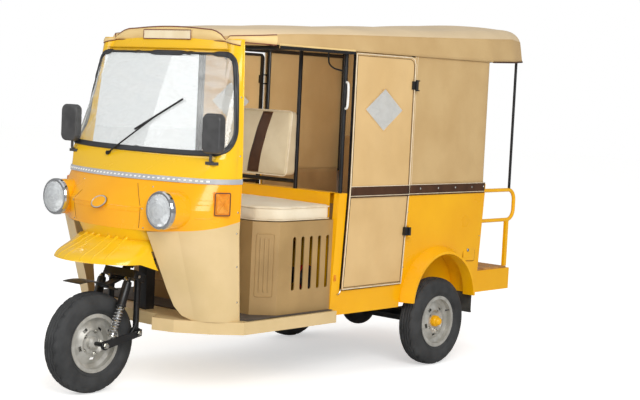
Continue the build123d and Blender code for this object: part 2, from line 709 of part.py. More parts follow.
def canopy():
    """Vinyl roof on bows, with side and back curtains."""
    outer = loft([bow_face(bow, 0, 0) for bow in BOWS], ruled=True)
    inner = loft([bow_face(bow, ROOF_THICK, 4) for bow in BOWS], ruled=True)
    inner &= block(-700, 700, ROOF_FRONT_Y + ROOF_THICK, ROOF_REAR_Y + 13, RAIL_Z - 10, 2000)
    roof = outer - inner
    roof -= cab_solid([SCREEN_HEAD, HEADER_TOP], -GAP, 0)
    keep("canopy_roof", roof.solids().sort_by(SortBy.VOLUME)[-1])
    half = BODY_HALF
    y0, y1 = DOOR_REAR_Y + 12, BODY_REAR_Y - 8
    top = BOWS[-1].crown
    cloth = block(-half, half, y0, y1, BELT_Z, top)
    cloth -= block(-half + VINYL, half - VINYL, y0 - 1, y1 - VINYL, BELT_Z - 1, top + 1)
    gable = bow_face(BOWS[6], ROOF_THICK + GAP, RAIL_Z - BELT_Z + 5)
    under = block(-half, half, y0, y1 - VINYL - 30, BELT_Z, RAIL_Z + 24)
    under += extrude(gable, amount=-60, dir=(0, 1, 0))
    cloth = (cloth & under) - nodes["canopy_roof"]
    bracket = hinge_bracket(HINGE_HEIGHTS[1], BODY_HALF - 30)
    for cutter in canopy_tubes(TUBE_RADIUS + GAP) + [bracket, other_side(bracket)]:
        cloth -= cutter
    keep("canopy_curtains", cloth.solids().sort_by(SortBy.VOLUME)[-1])


def canopy_tubes(radius):
    """Side rails, hoops, and the poles behind the driver."""
    x = BODY_HALF - 24
    rail_z = RAIL_Z + 10
    front = (x, ROOF_FRONT_Y + 192, rail_z)
    rail = [front, (x, BODY_REAR_Y, rail_z), (STAY_X, STAY_Y, REAR_RAIL_Z)]
    rail += [(-px, py, pz) for px, py, pz in reversed(rail)]
    tubes = [pipe(rail, radius, 24)]
    bars = []
    for side in (-1, 1):
        for y in (DOOR_REAR_Y + 26, BODY_REAR_Y - 30):
            bars.append([(side * x, y, BELT_Z), (side * x, y, rail_z + 3)])
    for pole_x in (-x, -222, 222, x):
        bars.append([(pole_x, POLE_Y, BULKHEAD_Z), (pole_x, POLE_Y, rail_z + 3)])
    bars.append([(-222, POLE_Y, 1010), (222, POLE_Y, 1010)])
    bars.append([(-x - 3, POLE_Y, rail_z - 2), (x + 3, POLE_Y, rail_z - 2)])
    tubes += [pipe(bar, radius) for bar in bars]
    clear = ROOF_THICK + TUBE_RADIUS + 3
    for y in (ROOF_FRONT_Y + 392, POLE_Y, DOOR_REAR_Y + 26, BODY_REAR_Y - 30):
        shoulder, crown = roof_level(y)
        end = shoulder + CORNER_END[1] * (crown - shoulder) - clear
        line = [(x + 1, y, rail_z - 5), (x - 16, y, shoulder - 14), (x - 120, y, end), (0, y, crown - clear)]
        line += [(-px, py, pz) for px, py, pz in reversed(line[:-1])]
        tubes.append(pipe(line, radius, 34))
    return tubes


def canopy_frame():
    """Tubes joined into one frame, with the gutter bar over each cab doorway."""
    tubes = canopy_tubes(TUBE_RADIUS)
    frame = tubes[0]
    for tube in tubes[1:]:
        frame += tube
    y0, y1 = ROOF_FRONT_Y + 200, DOOR_FRONT_Y - DOOR_GAP
    gutter = block(BODY_HALF - 26, ROOF_HALF + 4, y0, y1, RAIL_Z - 16, RAIL_Z - 1)
    gutter += block(BODY_HALF - 31, BODY_HALF - 17, y0, y1, RAIL_Z - 12, RAIL_Z + 8)
    frame += gutter
    frame += other_side(gutter)
    bracket = hinge_bracket(HINGE_HEIGHTS[1], BODY_HALF - 30)
    frame += bracket + other_side(bracket)
    keep("canopy_frame", frame - nodes["canopy_roof"])


# ---- passenger doors ----
WINDOW_HALF_Y = 151.0
WINDOW_HALF_Z = 108.0
WINDOW_Z = 1405.0


def door_layer(near, far, y0, y1, z0, z1):
    """Part of the door between two depths behind its outer face; it kinks in at the belt."""
    def face_x(z):
        return DOOR_FACE_X - (side_x(BELT_Z) - side_x(min(z, BELT_Z)))

    outline = [(face_x(z) - near, z) for z in (z0, BELT_Z, z1)]
    outline += [(face_x(z) - far, z) for z in (z1, BELT_Z, z0)]
    return slab_y(outline, y0, y1)


def knuckle(z):
    """Hinge barrel on the door's rear edge."""
    barrel = Pos(HINGE_X, HINGE_Y, z) * Cylinder(PIN_RADIUS + 4, KNUCKLE)
    lug = block(HINGE_X - 26, HINGE_X, HINGE_Y - 34, HINGE_Y, z - KNUCKLE / 2, z + KNUCKLE / 2)
    lug &= block(0, 900, -900, DOOR_REAR_Y, 0, 2000) + barrel
    return barrel + lug - Pos(HINGE_X, HINGE_Y, z) * Cylinder(PIN_RADIUS + 0.05, 2 * KNUCKLE)


def hinge_bracket(z, root_x):
    """Pin held above and below the barrel by two ears fixed to the body."""
    pin = Pos(HINGE_X, HINGE_Y, z) * Cylinder(PIN_RADIUS, KNUCKLE + 16)
    ears = None
    for side in (-1, 1):
        near, far = sorted((side * (KNUCKLE / 2 + GAP), side * (KNUCKLE / 2 + 7)))
        ear = block(root_x, HINGE_X + PIN_RADIUS + 2, HINGE_Y + 1, HINGE_Y + 16, z + near, z + far)
        ear += Pos(HINGE_X, HINGE_Y, z + (near + far) / 2) * Cylinder(PIN_RADIUS + 2, far - near)
        ears = ear if ears is None else ears + ear
    return pin + ears


def doors():
    """Steel frame, vinyl skin and a clear rhombus window; hinged at the rear edge."""
    y0, y1 = DOOR_FRONT_Y, DOOR_REAR_Y
    z0, z1 = DOOR_BOTTOM_Z, DOOR_TOP_Z
    middle = (y0 + y1) / 2
    bar = 16.0
    corner = block(0, 900, y1 - 30, y1 + 1, z1 - 30, z1 + 1) - disc_x(30, 0, 900, y1 - 30, z1 - 30)
    frame = door_layer(VINYL, VINYL + bar, y0, y1, z0, z1) - corner
    frame -= block(0, 900, y0 + bar, y1 - bar, z0 + bar, BELT_Z - 60)
    frame -= block(0, 900, y0 + bar, y1 - bar, BELT_Z - 60 + bar, z1 - bar)
    rhombus = [
        (middle - WINDOW_HALF_Y, WINDOW_Z),
        (middle, WINDOW_Z + WINDOW_HALF_Z),
        (middle + WINDOW_HALF_Y, WINDOW_Z),
        (middle, WINDOW_Z - WINDOW_HALF_Z),
    ]
    skin = door_layer(0, VINYL, y0, y1, z0, z1) - corner
    skin -= slab_x(rhombus, 0, 900)
    pane = slab_x(rhombus, DOOR_FACE_X - VINYL + 1, DOOR_FACE_X - 1)
    for z in HINGE_HEIGHTS:
        hinge = knuckle(z)
        frame += hinge - skin
    skin -= frame
    keep("door_frame_left", frame)
    keep("door_skin_left", skin.solids().sort_by(SortBy.VOLUME)[-1])
    keep("door_window_left", pane)
    for name in ("door_frame", "door_skin", "door_window"):
        keep(name + "_right", other_side(nodes[name + "_left"]))


# ---- wheels ----
def wheel(name, x, y, outboard):
    """Tyre, pressed rim and hub with drum, turned round the axle."""
    half = TYRE_WIDTH / 2
    seat = RIM_SEAT_RADIUS
    rim_half = RIM_WIDTH / 2
    tread = TYRE_RADIUS
    side = make_face(
        [
            Line((-rim_half + 4, seat), (rim_half - 4, seat)),
            Line((rim_half - 4, seat), (rim_half - 4, RIM_FLANGE_RADIUS + 2)),
            ThreePointArc(
                (rim_half - 4, RIM_FLANGE_RADIUS + 2), (half, (seat + tread) / 2 + 6), (half - 8, tread - 22)
            ),
            ThreePointArc((half - 8, tread - 22), (half - 20, tread - 7), (half - 34, tread - 2)),
            ThreePointArc((half - 34, tread - 2), (0, tread), (-half + 34, tread - 2)),
            ThreePointArc((-half + 34, tread - 2), (-half + 20, tread - 7), (-half + 8, tread - 22)),
            ThreePointArc(
                (-half + 8, tread - 22), (-half, (seat + tread) / 2 + 6), (-rim_half + 4, RIM_FLANGE_RADIUS + 2)
            ),
            Line((-rim_half + 4, RIM_FLANGE_RADIUS + 2), (-rim_half + 4, seat)),
        ]
    )
    centre = Pos(x, y, TYRE_RADIUS)
    keep(name + "_tyre", centre * revolve(side, Axis.X))
    well = seat - 22
    flip = Rot(0, 0, 0 if outboard > 0 else 180)
    profile = [
        (-rim_half, RIM_FLANGE_RADIUS),
        (-rim_half, seat - 3),
        (-20, seat - 3),
        (-14, well - 3),
        (4, well - 3),
        (14, 84),
        (26, 64),
        (14, 52),
        (14, 30),
        (18, 30),
        (18, 50),
        (30, 64),
        (18, 86),
        (10, well),
        (18, seat - 3),
        (rim_half, seat - 3),
        (rim_half, RIM_FLANGE_RADIUS),
        (rim_half - 4, RIM_FLANGE_RADIUS),
        (rim_half - 4, seat - 0.3),
        (15, seat - 0.3),
        (7, well + 3),
        (-11, well + 3),
        (-17, seat - 0.3),
        (-rim_half + 4, seat - 0.3),
        (-rim_half + 4, RIM_FLANGE_RADIUS),
    ]
    rim = turned(profile)
    for i in range(5):
        hole = Rot(36 + 72 * i, 0, 0) * (Pos(20, 0, 76) * Box(40, 26, 13))
        rim -= hole
    drum = turned([(-42, 0), (-42, 76), (-2, 76), (4, 60), (13.7, 60), (13.7, 29.7), (34, 29), (46, 20), (50, 0)])
    bore = disc_x(AXLE_RADIUS + 0.05, -60, 60, 0, 0)
    keep(name + "_rim", centre * flip * (rim + drum - bore))


def wheels():
    wheel("front_wheel", 0, FRONT_AXLE_Y, 1)
    wheel("rear_wheel_left", TRACK / 2, 0, 1)
    wheel("rear_wheel_right", -TRACK / 2, 0, -1)


def rear_axle():
    """Axle tube, final drive and leaf springs."""
    reach = TRACK / 2 - 43
    axle = turned([(-reach, 0), (-reach, 30), (reach, 30), (reach, 0)], 0, 0, TYRE_RADIUS)
    tip = TRACK / 2 + 62
    axle += turned([(-tip, 0), (-tip, AXLE_RADIUS), (tip, AXLE_RADIUS), (tip, 0)], 0, 0, TYRE_RADIUS)
    axle += Pos(0, 0, TYRE_RADIUS) * Sphere(95)
    axle += pipe([(0, -80, TYRE_RADIUS), (0, BULKHEAD_Y + 300, TYRE_RADIUS + 25)], 28)
    keep("rear_axle", axle)
    x0 = RAIL_X + RAIL_WIDTH / 2 + GAP
    x1 = x0 + 50
    arc = make_face(
        [
            ThreePointArc((x0, -330, 322), (x0, 0, TYRE_RADIUS + 30 + GAP), (x0, 330, 322)),
            Line((x0, 330, 322), (x0, 330, 334)),
            ThreePointArc((x0, 330, 334), (x0, 0, TYRE_RADIUS + 52), (x0, -330, 334)),
            Line((x0, -330, 334), (x0, -330, 322)),
        ]
    )
    spring = extrude(arc, amount=x1 - x0, dir=(1, 0, 0))
    for y in (-330, 330):
        spring += disc_x(13, x0, x1, y, 330)
    keep_pair("leaf_springs", spring)


# ---- steered front end ----
FORK_X = 95.0
AXLE_RADIUS = 10.0
LINK_Y = FRONT_AXLE_Y + 205.0
LINK_Z = 285.0


def front_fork():
    """Stem, crown and legs; leading links, spring units and mudguard."""
    plane = head_frame()
    y = FRONT_AXLE_Y
    stem = plane * (Pos(0, 0, 285) * Cylinder(STEM_RADIUS, 610))
    crown = plane * (Pos(0, 0, 8) * Box(2 * FORK_X + 44, 74, 40))
    crown = fillet(crown.edges().filter_by(lambda e: e.length < 45), 10)
    fork = stem + crown
    for side in (-1, 1):
        x = side * FORK_X
        fork += pipe([(x, HEAD_Y + 8, HEAD_Z + 4), (x, LINK_Y, LINK_Z)], 15)
        fork += disc_x(24, x - 15, x + 15, LINK_Y, LINK_Z)
    keep("fork", fork)
    arm = slab_x(
        [
            (LINK_Y + 20, LINK_Z - 16),
            (LINK_Y + 20, LINK_Z + 16),
            (y - 4, TYRE_RADIUS + 20),
            (y - 4, TYRE_RADIUS - 20),
        ],
        FORK_X + 15.5,
        FORK_X + 25.5,
    )
    arm += disc_x(22, FORK_X + 15.5, FORK_X + 25.5, y, TYRE_RADIUS)
    shaft = disc_x(AXLE_RADIUS, -FORK_X - 30, FORK_X + 30, y, TYRE_RADIUS)
    pivots = disc_x(9, FORK_X - 15, FORK_X + 34, LINK_Y, LINK_Z) - disc_x(40, 0, FORK_X + 20, LINK_Y, LINK_Z)
    arm += pivots
    keep("link_arms", arm + other_side(arm) + shaft)
    low = (FORK_X - 7, y + 62, TYRE_RADIUS + 30)
    high = (FORK_X, HEAD_Y - 48, HEAD_Z + 6)
    keep_pair("shocks", spring_unit(low, high))
    guard_y, guard_z, guard_radius = y - 60, TYRE_RADIUS - 23, 325.0
    guard = disc_x(guard_radius, -64, 64, guard_y, guard_z)
    guard -= disc_x(guard_radius - SHEET, -70, 70, guard_y, guard_z)
    guard &= block(-70, 70, y - 120, y + 115, TYRE_RADIUS, HEAD_Z + 50)
    tongue = [(y + 80, 502), (HEAD_Y, HEAD_Z - 6), (HEAD_Y, HEAD_Z), (y + 80, 514)]
    guard += slab_x(tongue, -25, 25)
    guard = (guard - fork).solids().sort_by(SortBy.VOLUME)[-1]
    keep("front_mudguard", guard)
    top = plane.from_local_coords((0, 0, 590))
    bar = pipe(
        [
            (-300, top.Y + 70, top.Z + 62),
            (-110, top.Y + 20, top.Z + 40),
            (110, top.Y + 20, top.Z + 40),
            (300, top.Y + 70, top.Z + 62),
        ],
        12,
        60,
    )
    clamp = plane * (Pos(0, 0, 620) * Box(120, 60, 58))
    keep("handlebar", bar + fillet(clamp.edges(), 8))


def spring_unit(low, high):
    """Damper with a coil spring on its lower half, turned as one piece."""
    low, high = Vector(*low), Vector(*high)
    length = (high - low).length
    wire, core, body = 5.5, 12.0, 21.0
    pitch, turns, start = 17.0, 8, 24.0
    edges = [Line((0, 0), (0, core + 9)), Line((0, core + 9), (start - wire, core + 9))]
    edges.append(Line((start - wire, core + 9), (start - wire, core)))
    at = start - wire
    for i in range(turns):
        centre = start + i * pitch
        edges.append(ThreePointArc((centre - wire, core), (centre, core + 2 * wire), (centre + wire, core)))
        at = centre + wire
        if i < turns - 1:
            edges.append(Line((at, core), (at + pitch - 2 * wire, core)))
    shoulder = at + 6
    edges += [
        Line((at, core), (shoulder, core)),
        Line((shoulder, core), (shoulder, body)),
        Line((shoulder, body), (length - 20, body)),
        Line((length - 20, body), (length, core)),
        Line((length, core), (length, 0)),
        Line((length, 0), (0, 0)),
    ]
    unit = revolve(make_face(edges), Axis.X)
    return Plane(origin=low, x_dir=high - low, z_dir=(1, 0, 0)) * unit


def main():
    front_cab()
    nose_fender()
    headlamps()
    indicators()
    mirrors()
    wiper()
    chassis()
    cab_floor()
    engine()
    seat_box()
    driver_seat()
    rear_quarters()
    wheelhouses()
    rear_body()
    rear_deck()
    canopy()
    canopy_frame()
    doors()
    wheels()
    rear_axle()
    front_fork()
    for name, part in nodes.items():
        export_step(Pos(0, REAR_AXLE_Y, 0) * part, f"parts/{name}.step")


main()
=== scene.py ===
"""Looks of a three-wheeled motor rickshaw: finishes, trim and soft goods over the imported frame."""

from math import atan2, cos, hypot, pi, radians, sin, tau

import bmesh
import bpy
from mathutils import Matrix, Vector, noise
from mathutils.bvhtree import BVHTree


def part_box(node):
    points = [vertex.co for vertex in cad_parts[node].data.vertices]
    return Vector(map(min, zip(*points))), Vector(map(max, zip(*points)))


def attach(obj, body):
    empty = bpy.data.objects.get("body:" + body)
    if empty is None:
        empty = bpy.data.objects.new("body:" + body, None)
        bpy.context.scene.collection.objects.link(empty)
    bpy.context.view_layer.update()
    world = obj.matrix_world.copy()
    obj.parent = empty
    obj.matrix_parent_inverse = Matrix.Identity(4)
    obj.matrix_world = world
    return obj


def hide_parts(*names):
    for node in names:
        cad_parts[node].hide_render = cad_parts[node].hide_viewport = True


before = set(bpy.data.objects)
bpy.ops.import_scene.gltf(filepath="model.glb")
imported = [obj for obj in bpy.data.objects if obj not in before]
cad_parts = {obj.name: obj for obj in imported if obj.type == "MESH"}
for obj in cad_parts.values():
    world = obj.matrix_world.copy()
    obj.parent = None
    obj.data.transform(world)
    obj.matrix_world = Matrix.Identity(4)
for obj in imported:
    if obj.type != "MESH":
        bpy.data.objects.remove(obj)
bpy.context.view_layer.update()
noise.seed_set(7)

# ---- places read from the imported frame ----
SPRING_EYES = [corner.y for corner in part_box("leaf_springs")]
REAR_AXLE_Y = round(sum(SPRING_EYES) / 2, 4)  # in metres: the axle sits midway between the eyes


def extent(node):
    """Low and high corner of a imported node, in whole millimetres measured at the rear axle."""
    axle = Vector((0, REAR_AXLE_Y, 0))
    return [[round(v * 1000) for v in corner - axle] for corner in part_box(node)]


(_, ROOF_FRONT_Y, _), (_, ROOF_REAR_Y, _) = extent("canopy_roof")
(_, CURTAIN_FRONT_Y, BELT_Z), (BODY_HALF, CURTAIN_REAR_Y, _) = extent("canopy_curtains")
(_, DOOR_FRONT_Y, DOOR_BOTTOM_Z), (DOOR_FACE_X, DOOR_REAR_Y, DOOR_TOP_Z) = extent("door_skin_left")
(_, _, SILL_Z), (SILL_HALF, DECK_REAR_Y, _) = extent("deck_tray")
DECK_TOP = extent("deck_boards")[1][2]
NOSE_FOOT_Z = extent("front_cowl")[0][2]
CHROME_STRIP_Z = sum(corner[2] for corner in extent("chrome_strip")) / 2

# ---- camera ----
VIEW_AZIMUTH = radians(41.27)  # from straight ahead of the nose towards the driver's left
VIEW_ELEVATION = radians(4.43)
VIEW_ROLL = radians(2.75)
VIEW_DISTANCE = 6.087
VIEW_TARGET = Vector((1.199, -1.0332, 1.021))
LENS_PIXELS = 1415.1
IMAGE_WIDTH = 640


def place_camera():
    """Camera ahead of the nose on the driver's left, a little rolled."""
    azimuth, elevation = VIEW_AZIMUTH, VIEW_ELEVATION
    back = Vector((sin(azimuth) * cos(elevation), -cos(azimuth) * cos(elevation), sin(elevation)))
    right = Vector((cos(azimuth), sin(azimuth), 0))
    up = back.cross(right)
    across = cos(VIEW_ROLL) * right + sin(VIEW_ROLL) * up
    upward = cos(VIEW_ROLL) * up - sin(VIEW_ROLL) * right
    lens = bpy.data.cameras.new("camera")
    lens.sensor_width = 36
    lens.lens = LENS_PIXELS / IMAGE_WIDTH * lens.sensor_width
    lens.clip_end = 100
    camera = bpy.data.objects.new("camera", lens)
    bpy.context.scene.collection.objects.link(camera)
    turn = Matrix((across, upward, back)).transposed().to_4x4()
    camera.matrix_world = Matrix.Translation(VIEW_TARGET + VIEW_DISTANCE * back) @ turn
    bpy.context.scene.camera = camera


# ---- material nodes ----
def linear(code):
    """Linear colour from an sRGB hex code."""
    parts = [int(code[i : i + 2], 16) / 255 for i in (1, 3, 5)]
    parts = [c / 12.92 if c <= 0.04045 else ((c + 0.055) / 1.055) ** 2.4 for c in parts]
    return (*parts, 1.0)


def add(material, kind, inputs=(), **settings):
    """Add a node with its settings to a material or world, and fill or link its inputs."""
    made = material.node_tree.nodes.new("ShaderNode" + kind)
    for name, value in settings.items():
        setattr(made, name, value)
    for name, value in dict(inputs).items():
        if isinstance(value, bpy.types.NodeSocket):
            material.node_tree.links.new(value, made.inputs[name])
        else:
            made.inputs[name].default_value = value
    return made


materials = {}  # each finish by its own name


def blank(name):
    """Material with an empty tree and its output."""
    material = bpy.data.materials.new(name)
    material.use_nodes = True
    material.node_tree.nodes.clear()
    materials[name] = material
    return material, material.node_tree.nodes.new("ShaderNodeOutputMaterial")


def finish(name, light, dark, mottle_mm, roughness, relief=(), sockets=(), stretch=(1, 1, 1)):
    """Opaque finish: two close shades mottled together, uneven gloss, and layers of relief.

    relief holds (kind, size in mm, depth in mm) for noise or cell patterns.
    """
    material, output = blank(name)
    place = add(material, "TexCoord").outputs["Object"]
    place = add(material, "Mapping", {"Vector": place, "Scale": stretch}).outputs["Vector"]
    mottle = add(material, "TexNoise", {"Vector": place, "Scale": 1000 / mottle_mm, "Detail": 5.0})
    ramp = add(material, "MapRange", {0: mottle.outputs["Fac"], 1: 0.35, 2: 0.65})
    mix = add(material, "Mix", {"Factor": ramp.outputs[0]}, data_type="RGBA")
    mix.inputs[6].default_value, mix.inputs[7].default_value = linear(dark), linear(light)
    low, high = roughness
    gloss = add(material, "MapRange", {0: mottle.outputs["Fac"], 1: 0.3, 2: 0.7, 3: low, 4: high})
    shader = add(material, "BsdfPrincipled", {"Base Color": mix.outputs[2], "Roughness": gloss.outputs[0]})
    for socket, value in dict(sockets).items():
        shader.inputs[socket].default_value = value
    normal = None
    for kind, size_mm, depth_mm in relief:
        inputs = {"Vector": place, "Scale": 1000 / size_mm}
        if kind == "noise":
            height = add(material, "TexNoise", {**inputs, "Detail": 3.0}).outputs["Fac"]
        else:
            height = add(material, "TexVoronoi", inputs, feature="SMOOTH_F1").outputs["Distance"]
        bump = add(material, "Bump", {"Height": height, "Strength": 1.0, "Distance": depth_mm / 1000})
        if normal:
            material.node_tree.links.new(normal, bump.inputs["Normal"])
        normal = bump.outputs["Normal"]
    if normal:
        material.node_tree.links.new(normal, shader.inputs["Normal"])
    material.node_tree.links.new(shader.outputs[0], output.inputs["Surface"])
    return material


def clear(name, tint, roughness, ior, ripple_mm, ripple_depth_mm):
    """Clear sheet that lets light straight through to what it shades."""
    material, output = blank(name)
    place = add(material, "TexCoord").outputs["Object"]
    wave = add(material, "TexNoise", {"Vector": place, "Scale": 1000 / ripple_mm})
    bump = add(material, "Bump", {"Height": wave.outputs["Fac"], "Distance": ripple_depth_mm / 1000})
    shader = add(
        material,
        "BsdfPrincipled",
        {
            "Base Color": linear(tint),
            "Roughness": roughness,
            "IOR": ior,
            "Transmission Weight": 1.0,
            "Normal": bump.outputs["Normal"],
        },
    )
    through = add(material, "BsdfTransparent", {"Color": linear(tint)})
    path = add(material, "LightPath")
    mix = add(
        material,
        "MixShader",
        {0: path.outputs["Is Shadow Ray"], 1: shader.outputs[0], 2: through.outputs[0]},
    )
    material.node_tree.links.new(mix.outputs[0], output.inputs["Surface"])
    return material


def cloud(material, shade, least, most):
    """Lay a pale uneven haze over a clear sheet."""
    output = next(n for n in material.node_tree.nodes if n.type == "OUTPUT_MATERIAL")
    clear_shader = output.inputs["Surface"].links[0].from_socket
    streaks = add(material, "TexNoise", {"Scale": 5.0, "Detail": 4.0, "Distortion": 1.2})
    amount = add(material, "MapRange", {0: streaks.outputs["Fac"], 1: 0.35, 2: 0.65, 3: least, 4: most})
    haze = add(material, "BsdfPrincipled", {"Base Color": linear(shade), "Roughness": 0.3})
    both = add(material, "MixShader", {0: amount.outputs[0], 1: clear_shader, 2: haze.outputs[0]})
    material.node_tree.links.new(both.outputs[0], output.inputs["Surface"])


def lemon_painted_light(material, lemon, top, foot):
    """Turn an enamel to a more lemon shade above a height and below another: painted light on faces that
    catch more light.
    """
    nodes = material.node_tree.nodes
    shader = next(n for n in nodes if n.type == "BSDF_PRINCIPLED")
    enamel = shader.inputs["Base Color"].links[0].from_socket
    height = add(material, "SeparateXYZ", {"Vector": add(material, "NewGeometry").outputs["Position"]})
    above = add(material, "Math", {0: height.outputs["Z"], 1: top}, operation="GREATER_THAN")
    below = add(material, "Math", {0: height.outputs["Z"], 1: foot}, operation="LESS_THAN")
    where = add(material, "Math", {0: above.outputs[0], 1: below.outputs[0]}, operation="ADD")
    mix = add(material, "Mix", {"Factor": where.outputs[0]}, data_type="RGBA")
    mix.inputs[7].default_value = linear(lemon)
    material.node_tree.links.new(enamel, mix.inputs[6])
    material.node_tree.links.new(mix.outputs[2], shader.inputs["Base Color"])


# Typical values of the real materials that several finishes are made of.
COATED_CLOTH = {"IOR": 1.5, "Specular IOR Level": 0.3, "Sheen Weight": 0.05}
LEATHERCLOTH = {"IOR": 1.5, "Sheen Weight": 0.2}
RUBBER = {"IOR": 1.52}


# Orange peel, leather grain and cloth grain are about 1 mm in life, too fine to show from the
# camera, so the finishes below draw them 4 to 9 mm across.
def enamels():
    """Paint on steel and on the glass-fibre mouldings."""
    # Sprayed gloss enamel on pressed steel: wet shine, faint orange peel.
    finish(
        "yellow_enamel", "#FAB905", "#F3AE03", mottle_mm=300, roughness=(0.26, 0.36),
        relief=[("noise", 9, 0.05)],
        sockets={"IOR": 1.5, "Specular IOR Level": 0.3, "Coat Weight": 0.2, "Coat Roughness": 0.08},
    )
    # The same enamel on the cab, polished to a harder shine.
    # The more lemon shade above the chrome strip and on the beak below the nose's foot is painted light,
    # where those faces catch more light.
    lemon_painted_light(
        finish(
            "cab_enamel", "#FBB00B", "#F6A906", mottle_mm=260, roughness=(0.2, 0.3),
            relief=[("noise", 9, 0.05)],
            sockets={"IOR": 1.5, "Specular IOR Level": 0.35, "Coat Weight": 0.35, "Coat Roughness": 0.06},
        ),
        "#F2C01A", CHROME_STRIP_Z / 1000, NOSE_FOOT_Z / 1000,
    )
    # Shadowed joint between two enamelled panels.
    finish(
        "panel_gap", "#8A560C", "#6C430A", mottle_mm=30, roughness=(0.5, 0.6),
        relief=[("noise", 5, 0.1)],
    )
    # Beige painted glass-fibre mouldings: satin, slightly wavy.
    finish(
        "beige_moulding", "#DCC190", "#D3B885", mottle_mm=220, roughness=(0.38, 0.5),
        relief=[("noise", 60, 0.5)],
        sockets={"IOR": 1.5, "Specular IOR Level": 0.4, "Coat Weight": 0.1},
    )
    # Black stoved paint on tube and bar: smooth, with a low shine.
    finish(
        "black_paint", "#1C1C1E", "#121214", mottle_mm=60, roughness=(0.28, 0.42),
        relief=[("noise", 3, 0.05)], sockets={"IOR": 1.5},
    )
    # Aluminium paint on pressed steel wheels: soft metallic with road dust in it.
    finish(
        "silver_paint", "#CFCDC6", "#B3B1A9", mottle_mm=45, roughness=(0.32, 0.48),
        relief=[("noise", 6, 0.15)], sockets={"Metallic": 0.5},
    )


def coated_cloths():
    """PVC coated cloth of the roof, curtains and doors, with its strips and piping."""
    # PVC coated canvas of the canopy: soft sheen over cloth grain and slack.
    finish(
        "canopy_vinyl", "#CEAE7A", "#C4A26E", mottle_mm=240, roughness=(0.42, 0.58),
        relief=[("noise", 90, 2.0), ("cell", 6, 0.12)], sockets=COATED_CLOTH,
    )
    # The same coated canvas on the doors: drawn tight, so its slack is longer and lies flatter.
    finish(
        "door_vinyl", "#DDBA82", "#D4B078", mottle_mm=260, roughness=(0.4, 0.52),
        relief=[("noise", 140, 2.0), ("cell", 6, 0.1)], sockets=COATED_CLOTH,
    )
    # The same coated canvas on the roof: bleached paler by the sun.
    finish(
        "roof_vinyl", "#DDC59E", "#D6BE97", mottle_mm=260, roughness=(0.4, 0.55),
        relief=[("noise", 120, 2.5), ("cell", 6, 0.12)], sockets=COATED_CLOTH,
    )
    # Padded PVC of the front roll: yellower than the roof, pulled into shallow dimples.
    finish(
        "band_vinyl", "#EACC8E", "#E0C082", mottle_mm=120, roughness=(0.38, 0.5),
        relief=[("noise", 50, 1.2), ("cell", 5, 0.12)], sockets=COATED_CLOTH,
    )
    # Gloss PVC board on the roll, wiped clean and bare.
    finish(
        "board_vinyl", "#EFE0BE", "#E6D3AC", mottle_mm=90, roughness=(0.3, 0.42),
        relief=[("cell", 4, 0.08)], sockets={"IOR": 1.5},
    )
    # Calendered PVC strip: fine leather grain, dull in the light.
    finish(
        "brown_vinyl", "#52341F", "#432817", mottle_mm=90, roughness=(0.4, 0.55),
        relief=[("cell", 5, 0.12)], sockets={"IOR": 1.5, "Specular IOR Level": 0.3},
    )
    # Extruded PVC piping: smooth cream beading, a little wavy from its stitches.
    finish(
        "cream_piping", "#F0E2C8", "#E2D0B0", mottle_mm=40, roughness=(0.4, 0.5),
        relief=[("noise", 12, 0.2)], sockets={"IOR": 1.5},
    )
    # Extruded PVC welt of the front roll: red-brown, with the same soft shine.
    finish(
        "russet_piping", "#7E3F2A", "#6C3322", mottle_mm=40, roughness=(0.38, 0.5),
        relief=[("noise", 12, 0.2)], sockets={"IOR": 1.5},
    )
    # Extruded PVC beading round the amber lamps: brown.
    finish(
        "brown_piping", "#6B452E", "#573624", mottle_mm=40, roughness=(0.4, 0.5),
        relief=[("noise", 12, 0.2)], sockets={"IOR": 1.5},
    )


def leathercloths():
    """Leathercloth of the seats and linings."""
    # Padded leathercloth: creased between its seams.
    finish(
        "cream_leathercloth", "#EFE3CB", "#E2D2B4", mottle_mm=160, roughness=(0.4, 0.55),
        relief=[("noise", 70, 2.0), ("cell", 4, 0.15)], sockets=LEATHERCLOTH,
    )
    # The backrest's leathercloth: rubbed glossier by the driver's back.
    finish(
        "back_leathercloth", "#DCCBA9", "#CDB994", mottle_mm=160, roughness=(0.36, 0.5),
        relief=[("noise", 70, 1.5), ("cell", 4, 0.15)], sockets=LEATHERCLOTH,
    )
    # Tan leathercloth of the bench and linings: looser, with longer creases.
    finish(
        "tan_leathercloth", "#B08D5C", "#9C7A4C", mottle_mm=160, roughness=(0.4, 0.55),
        relief=[("noise", 90, 2.0), ("cell", 4, 0.15)], sockets=LEATHERCLOTH,
    )


